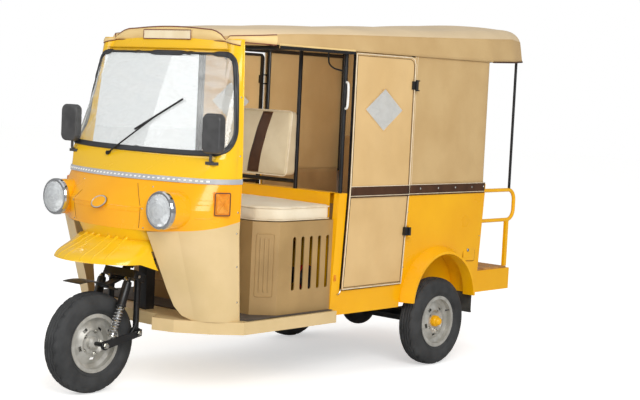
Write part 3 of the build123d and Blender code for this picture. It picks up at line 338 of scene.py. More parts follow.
def plastics_and_rubbers():
    """Mouldings, seals, tyres and mats."""
    # Blow-moulded polypropylene of the seat box: fine leathery grain. Its tan is darkened with painted
    # shade, the shade the cab casts on its fronts.
    finish(
        "seat_box_plastic", "#B08F5C", "#A38352", mottle_mm=180, roughness=(0.42, 0.55),
        relief=[("cell", 5, 0.15)], sockets={"IOR": 1.49},
    )
    # Moulded ABS of the mirrors and switches: fine spark-eroded grain, greyed by light.
    finish(
        "mirror_plastic", "#4A4A4B", "#3A3A3B", mottle_mm=60, roughness=(0.38, 0.5),
        relief=[("cell", 2.5, 0.08)], sockets={"IOR": 1.5},
    )
    # White moulded plastic: grab handles, reflectors, lamp strip segments.
    finish(
        "white_plastic", "#F1F0EC", "#E4E2DC", mottle_mm=40, roughness=(0.3, 0.42),
        relief=[("noise", 8, 0.05)], sockets={"IOR": 1.5},
    )
    # Extruded EPDM rubber: charcoal with a soft sheen.
    finish(
        "seal_rubber", "#2E3034", "#232427", mottle_mm=50, roughness=(0.4, 0.55),
        relief=[("noise", 3, 0.1)], sockets=RUBBER,
    )
    # Vulcanised tyre rubber: matt, dusted grey.
    finish(
        "tyre_rubber", "#3E3F40", "#2C2D2E", mottle_mm=70, roughness=(0.6, 0.8),
        relief=[("noise", 5, 0.3)], sockets=RUBBER,
    )
    # Sheet rubber cut from old belting: chalky and uneven.
    finish(
        "flap_rubber", "#50504C", "#3A3A38", mottle_mm=50, roughness=(0.6, 0.8),
        relief=[("noise", 6, 0.4)], sockets=RUBBER,
    )
    # Ribbed rubber mat: matt brown-grey with trodden-in dust.
    finish(
        "floor_mat", "#5E544A", "#484038", mottle_mm=70, roughness=(0.6, 0.78),
        relief=[("cell", 8, 0.5), ("noise", 60, 1.5)], sockets=RUBBER,
    )


def metals_and_wood():
    """Bare and plated metal, and the deck boards."""
    # Sand-cast aluminium under oil and soot: rough and dark.
    finish(
        "engine_casting", "#3A3A3B", "#1E1D1D", mottle_mm=25, roughness=(0.4, 0.65),
        relief=[("noise", 4, 0.3)], sockets={"Metallic": 0.6},
    )
    # Chrome plate on polished steel: a clear mirror with slow waves.
    finish(
        "chrome", "#E6E7EA", "#D0D2D6", mottle_mm=120, roughness=(0.06, 0.14),
        relief=[("noise", 80, 0.2)], sockets={"Metallic": 1.0},
    )
    # Polished and anodised aluminium strip round the nose: pale, softly mirrored.
    finish(
        "strip_silver", "#E6E7E9", "#D6D8DB", mottle_mm=60, roughness=(0.16, 0.26),
        relief=[("noise", 20, 0.1)], sockets={"Metallic": 0.55},
    )
    # Nickel plate on studs, screws and lock barrels: warm, finely scratched.
    finish(
        "stud_nickel", "#D9D8D2", "#BDBBB3", mottle_mm=12, roughness=(0.18, 0.3),
        relief=[("noise", 2, 0.03)], sockets={"Metallic": 1.0},
    )
    # Aluminised reflector and mirror faces: a bright, clean mirror.
    finish(
        "reflector_bowl", "#F2F3F4", "#E6E7E8", mottle_mm=60, roughness=(0.05, 0.1),
        relief=[("noise", 40, 0.1)], sockets={"Metallic": 1.0},
    )
    # Oiled plywood: the face grain runs across the deck, drawn coarse enough to show.
    finish(
        "plywood", "#CB9854", "#A8763B", mottle_mm=60, roughness=(0.5, 0.7),
        relief=[("noise", 14, 0.6)], sockets={"IOR": 1.5}, stretch=(0.12, 1, 1),
    )


def lenses_and_glass():
    """Coloured lenses, and the clear sheets that light passes through."""
    # Moulded acrylic with small prisms inside: glows orange where light gets in.
    finish(
        "amber_lens", "#F59A2C", "#E47E12", mottle_mm=30, roughness=(0.12, 0.2),
        relief=[("cell", 7, 0.5)], sockets={"IOR": 1.49, "Subsurface Weight": 0.2, "Coat Weight": 0.6},
    )
    # Moulded red acrylic with small prisms inside.
    finish(
        "red_lens", "#C8261C", "#A81912", mottle_mm=20, roughness=(0.12, 0.22),
        relief=[("cell", 5, 0.5)], sockets={"Coat Weight": 0.6},
    )
    # Toughened sheet glass: clear, with long slow waves; its pale streaks are painted reflection.
    cloud(
        clear("windscreen_glass", "#F6FAFA", roughness=0.0, ior=1.45, ripple_mm=300, ripple_depth_mm=0.15),
        "#ECECEA", least=0.05, most=0.22,
    )
    # Pressed lens glass: its close ribs scatter the light of the bowl behind them.
    cloud(
        clear("lamp_glass", "#FBFCFC", roughness=0.02, ior=1.45, ripple_mm=12, ripple_depth_mm=0.8),
        "#E2E5E7", least=0.3, most=0.5,
    )
    # Calendered PVC film: a little buckled; its pale milky haze is painted light, the light seen through
    # the pane from behind.
    cloud(
        clear("clear_pvc", "#E6E9EA", roughness=0.08, ior=1.45, ripple_mm=60, ripple_depth_mm=1.5),
        "#DADBD8", least=0.62, most=0.72,
    )


NODE_FINISH = {
    "front_cowl": "cab_enamel",
    "nose_fender": "cab_enamel",
    "leg_shield_left": "beige_moulding",
    "leg_shield_right": "beige_moulding",
    "cab_floor": "beige_moulding",
    "seat_box": "seat_box_plastic",
    "canopy_roof": "roof_vinyl",
    "canopy_curtains": "canopy_vinyl",
    "door_skin_left": "door_vinyl",
    "door_skin_right": "door_vinyl",
    "door_window_left": "clear_pvc",
    "door_window_right": "clear_pvc",
    "passenger_backrest": "tan_leathercloth",
    "passenger_cushion": "tan_leathercloth",
    "driver_backrest": "back_leathercloth",
    "driver_cushion": "cream_leathercloth",
    "engine_unit": "engine_casting",
    "windscreen_glass": "windscreen_glass",
    "windscreen_seal": "seal_rubber",
    "headlamp_lenses": "lamp_glass",
    "chrome_strip": "strip_silver",
    "headlamp_left": "chrome",
    "headlamp_right": "chrome",
    "shocks": "chrome",
    "indicators": "amber_lens",
    "mirror_left": "mirror_plastic",
    "mirror_right": "mirror_plastic",
    "mudflaps": "flap_rubber",
    "deck_boards": "plywood",
    "front_wheel_rim": "silver_paint",
    "rear_wheel_left_rim": "silver_paint",
    "rear_wheel_right_rim": "silver_paint",
    "front_wheel_tyre": "tyre_rubber",
    "rear_wheel_left_tyre": "tyre_rubber",
    "rear_wheel_right_tyre": "tyre_rubber",
}
YELLOW_BODY = (
    "door_sill_left door_sill_right bulkhead rear_quarter_left rear_quarter_right wheelhouses "
    "back_panel deck_tray rack_rail_left rack_rail_right"
).split()


def dress_nodes():
    """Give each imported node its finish."""
    for name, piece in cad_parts.items():
        key = NODE_FINISH.get(name, "yellow_enamel" if name in YELLOW_BODY else "black_paint")
        piece.data.materials.clear()
        piece.data.materials.append(materials[key])


# ---- shapes: each is a pair of lists, points in metres and faces ----
def at(x, y, z):
    """Point from millimetres measured at the rear axle."""
    return Vector((x / 1000, y / 1000 + REAR_AXLE_Y, z / 1000))


def joined(*shapes):
    """One shape of several."""
    points, faces = [], []
    for some_points, some_faces in shapes:
        start = len(points)
        points += some_points
        faces += [tuple(start + i for i in face) for face in some_faces]
    return points, faces


def moved(shape, matrix):
    """Shape with its points carried by a matrix."""
    return [matrix @ Vector(p) for p in shape[0]], shape[1]


def mirrored(shape):
    """The right-hand twin of a left-hand shape."""
    points, faces = shape
    return [Vector((-p[0], p[1], p[2])) for p in points], [tuple(reversed(face)) for face in faces]


def both_sides(shape):
    """A left-hand shape with its right-hand twin."""
    return joined(shape, mirrored(shape))


def grid(rows, wrap=False, ring=False):
    """Skin over rows of points; wrap closes each row, ring joins the last row to the first."""
    count = len(rows[0])
    points = [Vector(p) for row in rows for p in row]
    faces = []
    for i in range(len(rows) if ring else len(rows) - 1):
        for j in range(count if wrap else count - 1):
            a, b = i * count + j, i * count + (j + 1) % count
            c = ((i + 1) % len(rows)) * count
            faces.append((a, b, c + (j + 1) % count, c + j))
    return points, faces


def smooth_path(points, steps=6):
    """Finer path through the points, without corners."""
    points = [Vector(p) for p in points]
    path = []
    for i in range(len(points) - 1):
        start, end = points[i], points[i + 1]
        before = points[i - 1] if i else start
        after = points[i + 2] if i + 2 < len(points) else end
        for k in range(steps):
            t = k / steps
            curve = 2 * start + (end - before) * t
            curve += (2 * before - 5 * start + 4 * end - after) * t * t
            curve += (3 * start - before - 3 * end + after) * t**3
            path.append(0.5 * curve)
    return path + [points[-1]]


def swept(path, section, normals=None, closed=False):
    """Section of (across, outwards) metres carried along a path, with capped ends."""
    path = [Vector(p) for p in path]
    count = len(path)
    rows = []
    normal = None
    for i, p in enumerate(path):
        before = path[i - 1] if i or closed else p
        after = path[(i + 1) % count] if i + 1 < count or closed else p
        along = (after - before).normalized()
        if normals:
            normal = Vector(normals[i])
        elif normal is None:
            normal = along.orthogonal()
        normal = (normal - normal.dot(along) * along).normalized()
        across = along.cross(normal)
        rows.append([p + u * across + v * normal for u, v in section])
    points, faces = grid(rows, wrap=True, ring=closed)
    if not closed:
        width = len(section)
        faces += [tuple(range(width)), tuple(reversed(range(len(points) - width, len(points))))]
    return points, faces


def circle(radius, sides=8, squash=1.0):
    """Round section in metres, flattened by squash."""
    return [(radius * cos(tau * i / sides), squash * radius * sin(tau * i / sides)) for i in range(sides)]


def cord_round(path, radius_mm, sides=8, closed=False):
    """Round piping, wire or bead along a path."""
    return swept(path, circle(radius_mm / 1000, sides), closed=closed)


def pointing(place, direction, up=(0, 0, 1)):
    """Matrix at a place with local Z along a direction."""
    z = Vector(direction).normalized()
    x = Vector(up).cross(z)
    x = z.orthogonal() if x.length < 1e-4 else x
    x.normalize()
    return Matrix.Translation(place) @ Matrix((x, z.cross(x), z)).transposed().to_4x4()


def lathed(profile, place, steps=24):
    """Turned shape from (radius, height) millimetres round local Z."""
    rows = [
        [Vector((r * cos(tau * k / steps), r * sin(tau * k / steps), h)) / 1000 for r, h in profile]
        for k in range(steps)
    ]
    points, faces = grid(rows, ring=True)
    return moved((points, [tuple(reversed(face)) for face in faces]), place)


def bevelled(bm, edge_mm, segments=2):
    """Points and faces of a mesh with its corners eased."""
    bmesh.ops.recalc_face_normals(bm, faces=bm.faces)
    if edge_mm:
        edges = [e for e in bm.edges if e.calc_face_angle(0) > radians(30)]
        bmesh.ops.bevel(
            bm, geom=edges, offset=edge_mm / 1000, segments=segments, profile=0.6, affect="EDGES"
        )
    points = [v.co.copy() for v in bm.verts]
    bm.verts.index_update()
    faces = [tuple(v.index for v in face.verts) for face in bm.faces]
    bm.free()
    return points, faces


def rounded_block(size, place=Matrix(), edge=2.0, segments=2):
    """Block of a size in millimetres round a place, with its edges eased."""
    bm = bmesh.new()
    bmesh.ops.create_cube(bm, size=1.0)
    bmesh.ops.scale(bm, vec=Vector(size) / 1000, verts=bm.verts)
    return moved(bevelled(bm, edge, segments), place)


def plate(outline, thickness, place=Matrix(), edge=1.0, segments=2):
    """Flat outline in millimetres, raised along local Z."""
    bm = bmesh.new()
    low = [bm.verts.new((x / 1000, y / 1000, 0)) for x, y in outline]
    face = bm.faces.new(low)
    made = bmesh.ops.extrude_face_region(bm, geom=[face])
    top = [v for v in made["geom"] if isinstance(v, bmesh.types.BMVert)]
    bmesh.ops.translate(bm, vec=(0, 0, thickness / 1000), verts=top)
    return moved(bevelled(bm, edge, segments), place)


def on_plane(place, outline, height=0):
    """Outline in millimetres laid flat on a place, at a height over it."""
    return [place @ Vector((u / 1000, v / 1000, height / 1000)) for u, v in outline]


def rounded_rectangle(half_u, half_v, radius, steps):
    """Outline of a rectangle round the middle, with its corners turned to arcs."""
    corners = [(-half_u, -half_v), (half_u, -half_v), (half_u, half_v), (-half_u, half_v)]
    return round_corners(corners, radius, steps)


def round_corners(outline, radius, steps=5):
    """Outline with each corner turned to an arc."""
    result = []
    count = len(outline)
    for i in range(count):
        corner = Vector(outline[i])
        before = Vector(outline[i - 1]) - corner
        after = Vector(outline[(i + 1) % count]) - corner
        reach = min(radius, 0.45 * before.length, 0.45 * after.length)
        start, end = corner + reach * before.normalized(), corner + reach * after.normalized()
        for k in range(steps + 1):
            t = k / steps
            result.append(tuple((1 - t) ** 2 * start + 2 * t * (1 - t) * corner + t * t * end))
    return result


def skin_of(*names):
    """Search tree over the faces of CAD nodes."""
    points, faces = [], []
    for name in names:
        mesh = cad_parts[name].data
        start = len(points)
        points += [v.co.copy() for v in mesh.vertices]
        faces += [tuple(start + i for i in face.vertices) for face in mesh.polygons]
    return BVHTree.FromPolygons(points, faces)


def landed(tree, starts, direction, lift_mm=0.0):
    """Where rays from the starts first meet a surface, with the normals there."""
    direction = Vector(direction)
    places, normals = [], []
    for start in starts:
        place, normal, _, _ = tree.ray_cast(Vector(start), direction)
        if place is None:
            continue
        normal = -normal if normal.dot(direction) > 0 else normal
        places.append(place + lift_mm / 1000 * normal)
        normals.append(normal)
    return places, normals


def piece(name, shape, finish_name, body="body", slot=None, sharp=40.0):
    """Object from a shape, smooth but for its sharp edges, riding on a body."""
    mesh = bpy.data.meshes.new(name)
    mesh.from_pydata([tuple(p) for p in shape[0]], [], shape[1])
    mesh.validate()
    mesh.materials.append(materials[finish_name])
    mesh.shade_smooth()
    mesh.set_sharp_from_angle(angle=radians(sharp))
    made = bpy.data.objects.new(name, mesh)
    bpy.context.scene.collection.objects.link(made)
    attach(made, body)
    return made


# ---- canopy ----
# Roof bows: place along Y, half width, eave, shoulder and crown heights, in millimetres.
ROOF_BOWS = (
    (ROOF_FRONT_Y, 398, 1704, 1726, 1768),
    (-1462, 515, 1700, 1736, 1777),
    (-1370, 556, 1697, 1745, 1784),
    (-1175, 563, 1695, 1758, 1797),
    (-800, 563, 1695, 1776, 1822),
    (-296, 563, 1695, 1796, 1850),
    (412, 563, 1697, 1826, 1898),
    (650, 548, 1706, 1838, 1920),
    (ROOF_REAR_Y, 522, 1714, 1828, 1920),
)
HOOPS = (ROOF_FRONT_Y, -1170, -837, -282, 390, ROOF_REAR_Y)
ROOF_CORNER = ((22, 0.0), (62, 0.47), (140, 0.72))  # in from the side, share of the crown's rise
SIDE_STEPS = 6  # points down each hanging side of the roof's section
CURTAIN_TOP_Z = 1712


def roof_bow(y):
    """Half width, eave, shoulder and crown of the roof at a place along it."""
    for low, high in zip(ROOF_BOWS, ROOF_BOWS[1:]):
        if y <= high[0]:
            break
    t = (y - low[0]) / (high[0] - low[0])
    return [a + (b - a) * t for a, b in zip(low[1:], high[1:])]


def arc_through(start, middle, end, steps):
    """Points of the arc through three flat points, leaving out the last."""
    (ax, ay), (bx, by), (cx, cy) = start, middle, end
    turn = 2 * (ax * (by - cy) + bx * (cy - ay) + cx * (ay - by))
    a, b, c = ax * ax + ay * ay, bx * bx + by * by, cx * cx + cy * cy
    ux = (a * (by - cy) + b * (cy - ay) + c * (ay - by)) / turn
    uy = (a * (cx - bx) + b * (ax - cx) + c * (bx - ax)) / turn
    radius = hypot(ax - ux, ay - uy)
    first, half_way, last = (atan2(p[1] - uy, p[0] - ux) for p in (start, middle, end))
    angle = (last - first) % tau
    if (half_way - first) % tau > angle:
        angle -= tau
    angles = [first + angle * i / steps for i in range(steps)]
    return [(ux + radius * cos(a), uy + radius * sin(a)) for a in angles]


def roof_profile(y, inset=0.0):
    """Section of the roof from the left eave over the crown to the right one, as (x, z)."""
    half, eave, shoulder, crown = roof_bow(y)
    rise = crown - shoulder
    foot, middle, end = ((half - inset - a, shoulder - inset + up * rise) for a, up in ROOF_CORNER)
    lean = ROOF_CORNER[0][0]
    side = []
    for t in range(SIDE_STEPS):
        side.append((half - inset - lean * t / SIDE_STEPS, eave + (foot[1] - eave) * t / SIDE_STEPS))
    left = side + arc_through(foot, middle, end, 7)
    top = arc_through(end, (0, crown - inset), (-end[0], end[1]), 40)
    return left + top + [(-end[0], end[1])] + [(-x, z) for x, z in reversed(left)]


def roof_top(x, y):
    """Height of the roof over a point."""
    section = roof_profile(y)
    for (x0, z0), (x1, z1) in zip(section, section[1:]):
        if x1 <= x <= x0:
            return z0 + (z1 - z0) * (x0 - x) / max(x0 - x1, 1e-6)
    return roof_bow(y)[1]


def hoop_sag(y):
    """How slack the cloth is between its hoops, from 0 to 1."""
    for low, high in zip(HOOPS, HOOPS[1:]):
        if y <= high:
            return sin(pi * (y - low) / (high - low)) ** 2
    return 0.0


def roof_row(y, drawn=1.0):
    """One row of the roof cloth; drawn below 1 pulls the row down towards the eave for an end wall."""
    half, eave, shoulder, crown = roof_bow(y)
    row = []
    for x, z in roof_profile(y, 0.5):
        top = max(0, (z - shoulder) / (crown - shoulder))
        wave = noise.noise(Vector((x / 170, y / 170, 0.3)))
        crease = noise.noise(Vector((x / 420 + y / 900, y / 60, 2.0))) * (1 - hoop_sag(y))
        flat = min(1, top * 1.6) * (1 - abs(x / half) ** 6)
        z -= (6 * hoop_sag(y) + 1.4 * wave + 1.6 * max(0, crease)) * flat
        slack = 1.3 * noise.noise(Vector((y / 120, z / 60, 4.0))) - 1.0 if top == 0 and z > eave + 8 else 0
        if drawn < 1:
            z = min(z, eave + (crown - eave) * drawn)
        row.append(at(x + (slack if x > 0 else -slack), y, z))
    return row


def thicken(made, depth_mm):
    """Give a single skin its cloth's thickness."""
    solid = made.modifiers.new("cloth_thickness", "SOLIDIFY")
    solid.thickness = depth_mm / 1000
    solid.offset = -1


def along_roof(y0, y1, step, spot):
    """Path on the left of the roof at one spot of its section."""
    count = max(2, round((y1 - y0) / step))
    path = []
    for i in range(count + 1):
        y = y0 + (y1 - y0) * i / count
        x, z = roof_profile(y)[spot]
        path.append(at(x, y, z))
    return path


def roof_cloth():
    """The whole roof as one cloth over its hoops, with end walls and leaning sides."""
    front_wall, rear_wall = (0.02, 0.3, 0.65), (0.7, 0.35, 0.02)
    ys = [ROOF_FRONT_Y + 26 * i for i in range(90)] + [ROOF_REAR_Y]
    rows = [roof_row(ROOF_FRONT_Y, drawn) for drawn in front_wall]
    rows += [roof_row(y) for y in ys]
    rows += [roof_row(ROOF_REAR_Y, drawn) for drawn in rear_wall]
    shape = grid(rows)
    cloth = piece("roof_cloth", shape, "roof_vinyl", slot="beige_vinyl", sharp=60)
    cloth.data.materials.append(materials["canopy_vinyl"])
    width = len(rows[0])
    for face in cloth.data.polygons:
        row, column = divmod(min(face.vertices), width)
        side = column < SIDE_STEPS or column >= width - 1 - SIDE_STEPS
        end = row < len(front_wall) or row >= len(rows) - 1 - len(rear_wall)
        face.material_index = 1 if side or end else 0
    thicken(cloth, 3)
    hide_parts("canopy_roof")


def shoulder_seams():
    """Welt and stitch line where the top of the roof is sewn to its sides."""
    front, rear = -1455, ROOF_REAR_Y - 4
    seam = cord_round(along_roof(front, rear, 40, SIDE_STEPS), 2.2, 6)
    second = cord_round(along_roof(front, rear, 40, SIDE_STEPS + 2), 0.9, 4)
    piece("shoulder_seam", both_sides(joined(seam, second)), "canopy_vinyl", slot="beige_vinyl")


def gutter_covers():
    """Flat hem along the eave over each open side."""
    low = along_roof(-1362, -808, 40, 0)
    strip = swept(low, [(-0.012, 0), (0.012, 0), (0.012, 0.003), (-0.012, 0.003)], [(1, 0, 0)] * len(low))
    strip = moved(strip, Matrix.Translation((0, 0, -0.004)))
    piece("gutter_cover", both_sides(strip), "band_vinyl", slot="beige_vinyl")


def rear_eave_binding():
    """Brown binding round the rear eave."""
    half, eave = ROOF_BOWS[-1][1:3]
    rear = along_roof(418, ROOF_REAR_Y, 30, 0)
    across = [at(half - 2 * half * i / 20, ROOF_REAR_Y + 1, eave - 1) for i in range(1, 20)]
    rim = rear + across + [Vector((-p.x, p.y, p.z)) for p in reversed(rear)]
    piece("rear_eave_binding", cord_round(rim, 5, 7), "brown_vinyl", slot="beige_vinyl")


def roof_seams():
    """Double seams across the roof over its hoops."""
    seams = []
    for y in HOOPS[1:5]:
        for side in (-8, 8):
            row = [at(x, y + side, z - 0.6) for x, z in roof_profile(y + side)[SIDE_STEPS:-SIDE_STEPS]]
            seams.append(cord_round(row, 1.3, 4))
    piece("roof_seams", joined(*seams), "roof_vinyl", slot="beige_vinyl")


def band_row(height, out):
    """Line round the roof's front at a share of the roll's height, stood off by out millimetres."""
    half = ROOF_BOWS[0][1]
    plan = [(556, -1385), (541, -1420), (515, -1464), (466, -1508), (half, ROOF_FRONT_Y)]
    left = [(p.x, p.y) for p in smooth_path([Vector((x, y, 0)) for x, y in plan], 4)]
    front = [(half - 2 * half * i / 24, ROOF_FRONT_Y) for i in range(1, 24)]
    line = left + front + [(-x, y) for x, y in reversed(left)]
    path = []
    for i, (x, y) in enumerate(line):
        (x0, y0), (x1, y1) = line[max(i - 1, 0)], line[min(i + 1, len(line) - 1)]
        run = hypot(x1 - x0, y1 - y0)
        nx, ny = -(y1 - y0) / run, (x1 - x0) / run
        eave, shoulder = roof_bow(y)[1:3]
        top = roof_top(x, ROOF_FRONT_Y) + 1 if y < ROOF_FRONT_Y + 1 else shoulder
        path.append(at(x + nx * out, y + ny * out, eave - 3 + (top - eave + 3) * height))
    return path


def front_roll():
    """Padded roll round the roof's front edge, piped top and bottom."""
    lift, puff = 1, 13
    rows = [band_row(t / 10, lift + puff * sin(pi * t / 10) ** 0.6) for t in range(11)]
    rows += [band_row(t, -6) for t in (0.95, 0.5, 0.05)]
    turned = [[row[j] for row in rows] for j in range(len(rows[0]))]
    points, faces = grid(turned, wrap=True)
    width = len(rows)
    faces += [tuple(reversed(range(width))), tuple(range(len(points) - width, len(points)))]
    band = piece("front_roll", (points, faces), "band_vinyl", slot="beige_vinyl")
    lines = [cord_round(band_row(t, 4), 2.8) for t in (0.0, 1.0)]
    piece("front_roll_piping", joined(*lines), "russet_piping", slot="beige_vinyl")


def front_board():
    """Bare framed board on the middle of the roll."""
    half, face_y = 170, ROOF_FRONT_Y - 17.5
    rows = []
    for i in range(13):
        x = -half + 2 * half * i / 12
        top = min(1751, roof_top(x, ROOF_FRONT_Y) - 9)
        rows.append([at(x, face_y, z) for z in (1707, 1720, 1735, top)])
    back = [[p + Vector((0, 0.004, 0)) for p in reversed(row)] for row in rows]
    points, faces = grid([a + b for a, b in zip(rows, back)], wrap=True)
    faces += [tuple(reversed(range(8))), tuple(range(len(points) - 8, len(points)))]
    piece("front_board", (points, faces), "board_vinyl", slot="beige_vinyl")
    rim = [row[0] for row in rows] + rows[-1][1:3] + [row[3] for row in reversed(rows)]
    rim += list(reversed(rows[0][1:3]))
    piece("front_board_rim", cord_round(rim, 2.4, 6, closed=True), "russet_piping", slot="beige_vinyl")


def curtain_plan(inset=0.0):
    """Plan line of the side and back curtains, from the left front round to the right front."""
    corner = 26
    half = BODY_HALF - inset
    rear = CURTAIN_REAR_Y - inset
    line = [(half, CURTAIN_FRONT_Y + (rear - corner - CURTAIN_FRONT_Y) * i / 24) for i in range(25)]
    for a in range(15, 90, 15):
        line.append((half - corner * (1 - cos(radians(a))), rear - corner * (1 - sin(radians(a)))))
    span = half - corner
    left = line[:]
    line += [(span - 2 * span * i / 38, rear) for i in range(39)]
    return line + [(-x, y) for x, y in reversed(left)]


def curtains():
    """Side and back curtains as one cloth laced to the frame, slack between its fixings."""
    line = curtain_plan(1.0)
    rows = []
    levels = 26
    for i in range(levels + 1):
        row = []
        for x, y in line:
            top = CURTAIN_TOP_Z if abs(x) > 540 else roof_top(x, min(y, 410)) - 14
            z = BELT_Z + (top - BELT_Z) * i / levels
            slack = 2.4 * noise.noise(Vector((x / 170, y / 170, z / 260)))
            slack += 1.5 * noise.noise(Vector((x / 45, y / 45, z / 400)))
            slack = min(slack - 3.0 * sin(pi * i / levels), 0.4)
            if abs(x) > 548:
                row.append(at(x + (slack if x > 0 else -slack), y, z))
            elif y > CURTAIN_REAR_Y - 8:
                row.append(at(x, y + slack, z))
            else:
                row.append(at(x, y, z))
        rows.append(row)
    shape = grid(rows)
    cloth = piece("side_and_back_curtain", shape, "canopy_vinyl", slot="beige_vinyl")
    thicken(cloth, 2.5)
    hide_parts("canopy_curtains")
    front_edge = [row[0] for row in rows]
    inner = [p + Vector((0.0006, 0.02, 0)) for p in front_edge]
    edging = both_sides(joined(cord_round(front_edge, 3.0, 6), cord_round(inner, 1.1, 5)))
    piece("curtain_edge_piping", edging, "cream_piping", slot="beige_vinyl")


STRIP_SECTION = ((-38, 0.2), (-37, 1.8), (-16, 2.6), (4, 2.0), (6, 0.2))  # height, lift
STRIP_PIPING = ((8, 1.5, 1.9), (-41, 1.0, 1.9))  # height, lift, radius
STRIP_LINE = (-47, 0.9, 3.0)


def snap_stud(place, out):
    """Domed press stud on a cloth."""
    return lathed([(0, 3.6), (4.2, 3.2), (6.2, 1.6), (6.6, 0), (0, 0)], pointing(place, out), 14)


def belt_strip(name, line, body="body"):
    """Brown strip over the bottom of the cloth, with piping above and below and a darker line."""
    outs = []
    for i, p in enumerate(line):
        ahead = Vector(line[min(i + 1, len(line) - 1)]) - Vector(line[max(i - 1, 0)])
        outs.append(Vector((ahead.y, -ahead.x)).normalized())

    def lifted(height, lift):
        return [at(*(Vector(p) + out * lift), BELT_Z + height) for p, out in zip(line, outs)]

    rows = [list(row) for row in zip(*[lifted(*place) for place in STRIP_SECTION])]
    strip = piece(name, grid(rows), "brown_vinyl", body, "beige_vinyl")
    thicken(strip, 1.2)
    pipes = [cord_round(lifted(height, lift), radius, 6) for height, lift, radius in STRIP_PIPING]
    piece(name + "_piping", joined(*pipes), "cream_piping", body, "beige_vinyl")
    height, lift, radius = STRIP_LINE
    piece(name + "_line", cord_round(lifted(height, lift), radius, 6), "brown_vinyl", body, "beige_vinyl")


def belt():
    """Strip round the curtain, held down by snap studs."""
    half, rear = BODY_HALF + 0.5, CURTAIN_REAR_Y + 9
    run = 700  # along each side, to just ahead of the rear corner
    line = [(half, CURTAIN_FRONT_Y + run * i / 20) for i in range(21)]
    line += [(half - 8, rear), (half - 60, rear)] + [(half - 60 - 50 * i, rear) for i in range(1, 20)]
    line += [(-half + 60, rear), (-half + 8, rear)]
    line += [(-half, CURTAIN_FRONT_Y + run - run * i / 20) for i in range(21)]
    belt_strip("belt_strip", line)
    studs = []
    for y in (-199, -37, 122, 280, 395):
        studs += [snap_stud(at(side * (half + 2.2), y, BELT_Z - 14), (side, 0, 0)) for side in (-1, 1)]
    studs += [snap_stud(at(x, rear + 2.4, BELT_Z - 14), (0, 1, 0)) for x in (-400, -200, 0, 200, 400)]
    piece("belt_studs", joined(*studs), "stud_nickel", slot="chrome")


# ---- doors ----
(_, window_front, window_foot), (_, window_rear, window_top) = extent("door_window_left")
WINDOW_HALF_Y, WINDOW_HALF_Z = (window_rear - window_front) / 2, (window_top - window_foot) / 2
WINDOW_Z = (window_foot + window_top) / 2


def body_x(z):
    """Outer face of the rear body, leaning in below the belt."""
    return SILL_HALF + (BODY_HALF - SILL_HALF) * (z - SILL_Z) / (BELT_Z - SILL_Z)


def door_x(z):
    """Outer face of a door, leaning in with the body below the belt."""
    return DOOR_FACE_X - BODY_HALF + body_x(min(z, BELT_Z))


def door_skin_points(side, middle):
    """Door cloth with its window hole, dented a little by its creases."""
    bm = bmesh.new()
    zs = [DOOR_BOTTOM_Z + (DOOR_TOP_Z - DOOR_BOTTOM_Z) * i / 64 for i in range(65)]
    ys = [DOOR_FRONT_Y + (DOOR_REAR_Y - DOOR_FRONT_Y) * i / 26 for i in range(27)]
    points, faces = grid([[Vector((0, y, z)) for y in ys] for z in zs])
    verts = [bm.verts.new(p) for p in points]
    for face in faces:
        bm.faces.new([verts[i] for i in face])
    for u, v in ((1, 1), (1, -1), (-1, 1), (-1, -1)):
        bmesh.ops.bisect_plane(
            bm,
            geom=bm.verts[:] + bm.edges[:] + bm.faces[:],
            plane_co=Vector((0, middle + u * WINDOW_HALF_Y, WINDOW_Z)),
            plane_no=Vector((0, u / WINDOW_HALF_Y, v / WINDOW_HALF_Z)).normalized(),
            dist=0.01,
        )
    hole = []
    for face in bm.faces:
        c = face.calc_center_median()
        if abs(c.y - middle) / WINDOW_HALF_Y + abs(c.z - WINDOW_Z) / WINDOW_HALF_Z < 0.999:
            hole.append(face)
    bmesh.ops.delete(bm, geom=hole, context="FACES")
    for v in bm.verts:
        _, y, z = v.co
        edge = min(y - DOOR_FRONT_Y, DOOR_REAR_Y - y, z - DOOR_BOTTOM_Z, DOOR_TOP_Z - z) / 60
        window = abs(y - middle) / WINDOW_HALF_Y + abs(z - WINDOW_Z) / WINDOW_HALF_Z - 1
        slack = min(1, edge) * min(1, max(0, 3 * window))
        crease = 2.4 * noise.noise(Vector((y / 120, z / 210, side * 2.0)))
        crease += 1.6 * noise.noise(Vector((y / 45, z / 90, side * 5.0)))
        v.co = at(side * (door_x(z) - 0.6 + min(slack * (crease - 1.2), 0)), y, z)
    bm.verts.index_update()
    shape = [v.co.copy() for v in bm.verts], [tuple(v.index for v in f.verts) for f in bm.faces]
    bm.free()
    if side > 0:
        return shape
    return shape[0], [tuple(reversed(f)) for f in shape[1]]


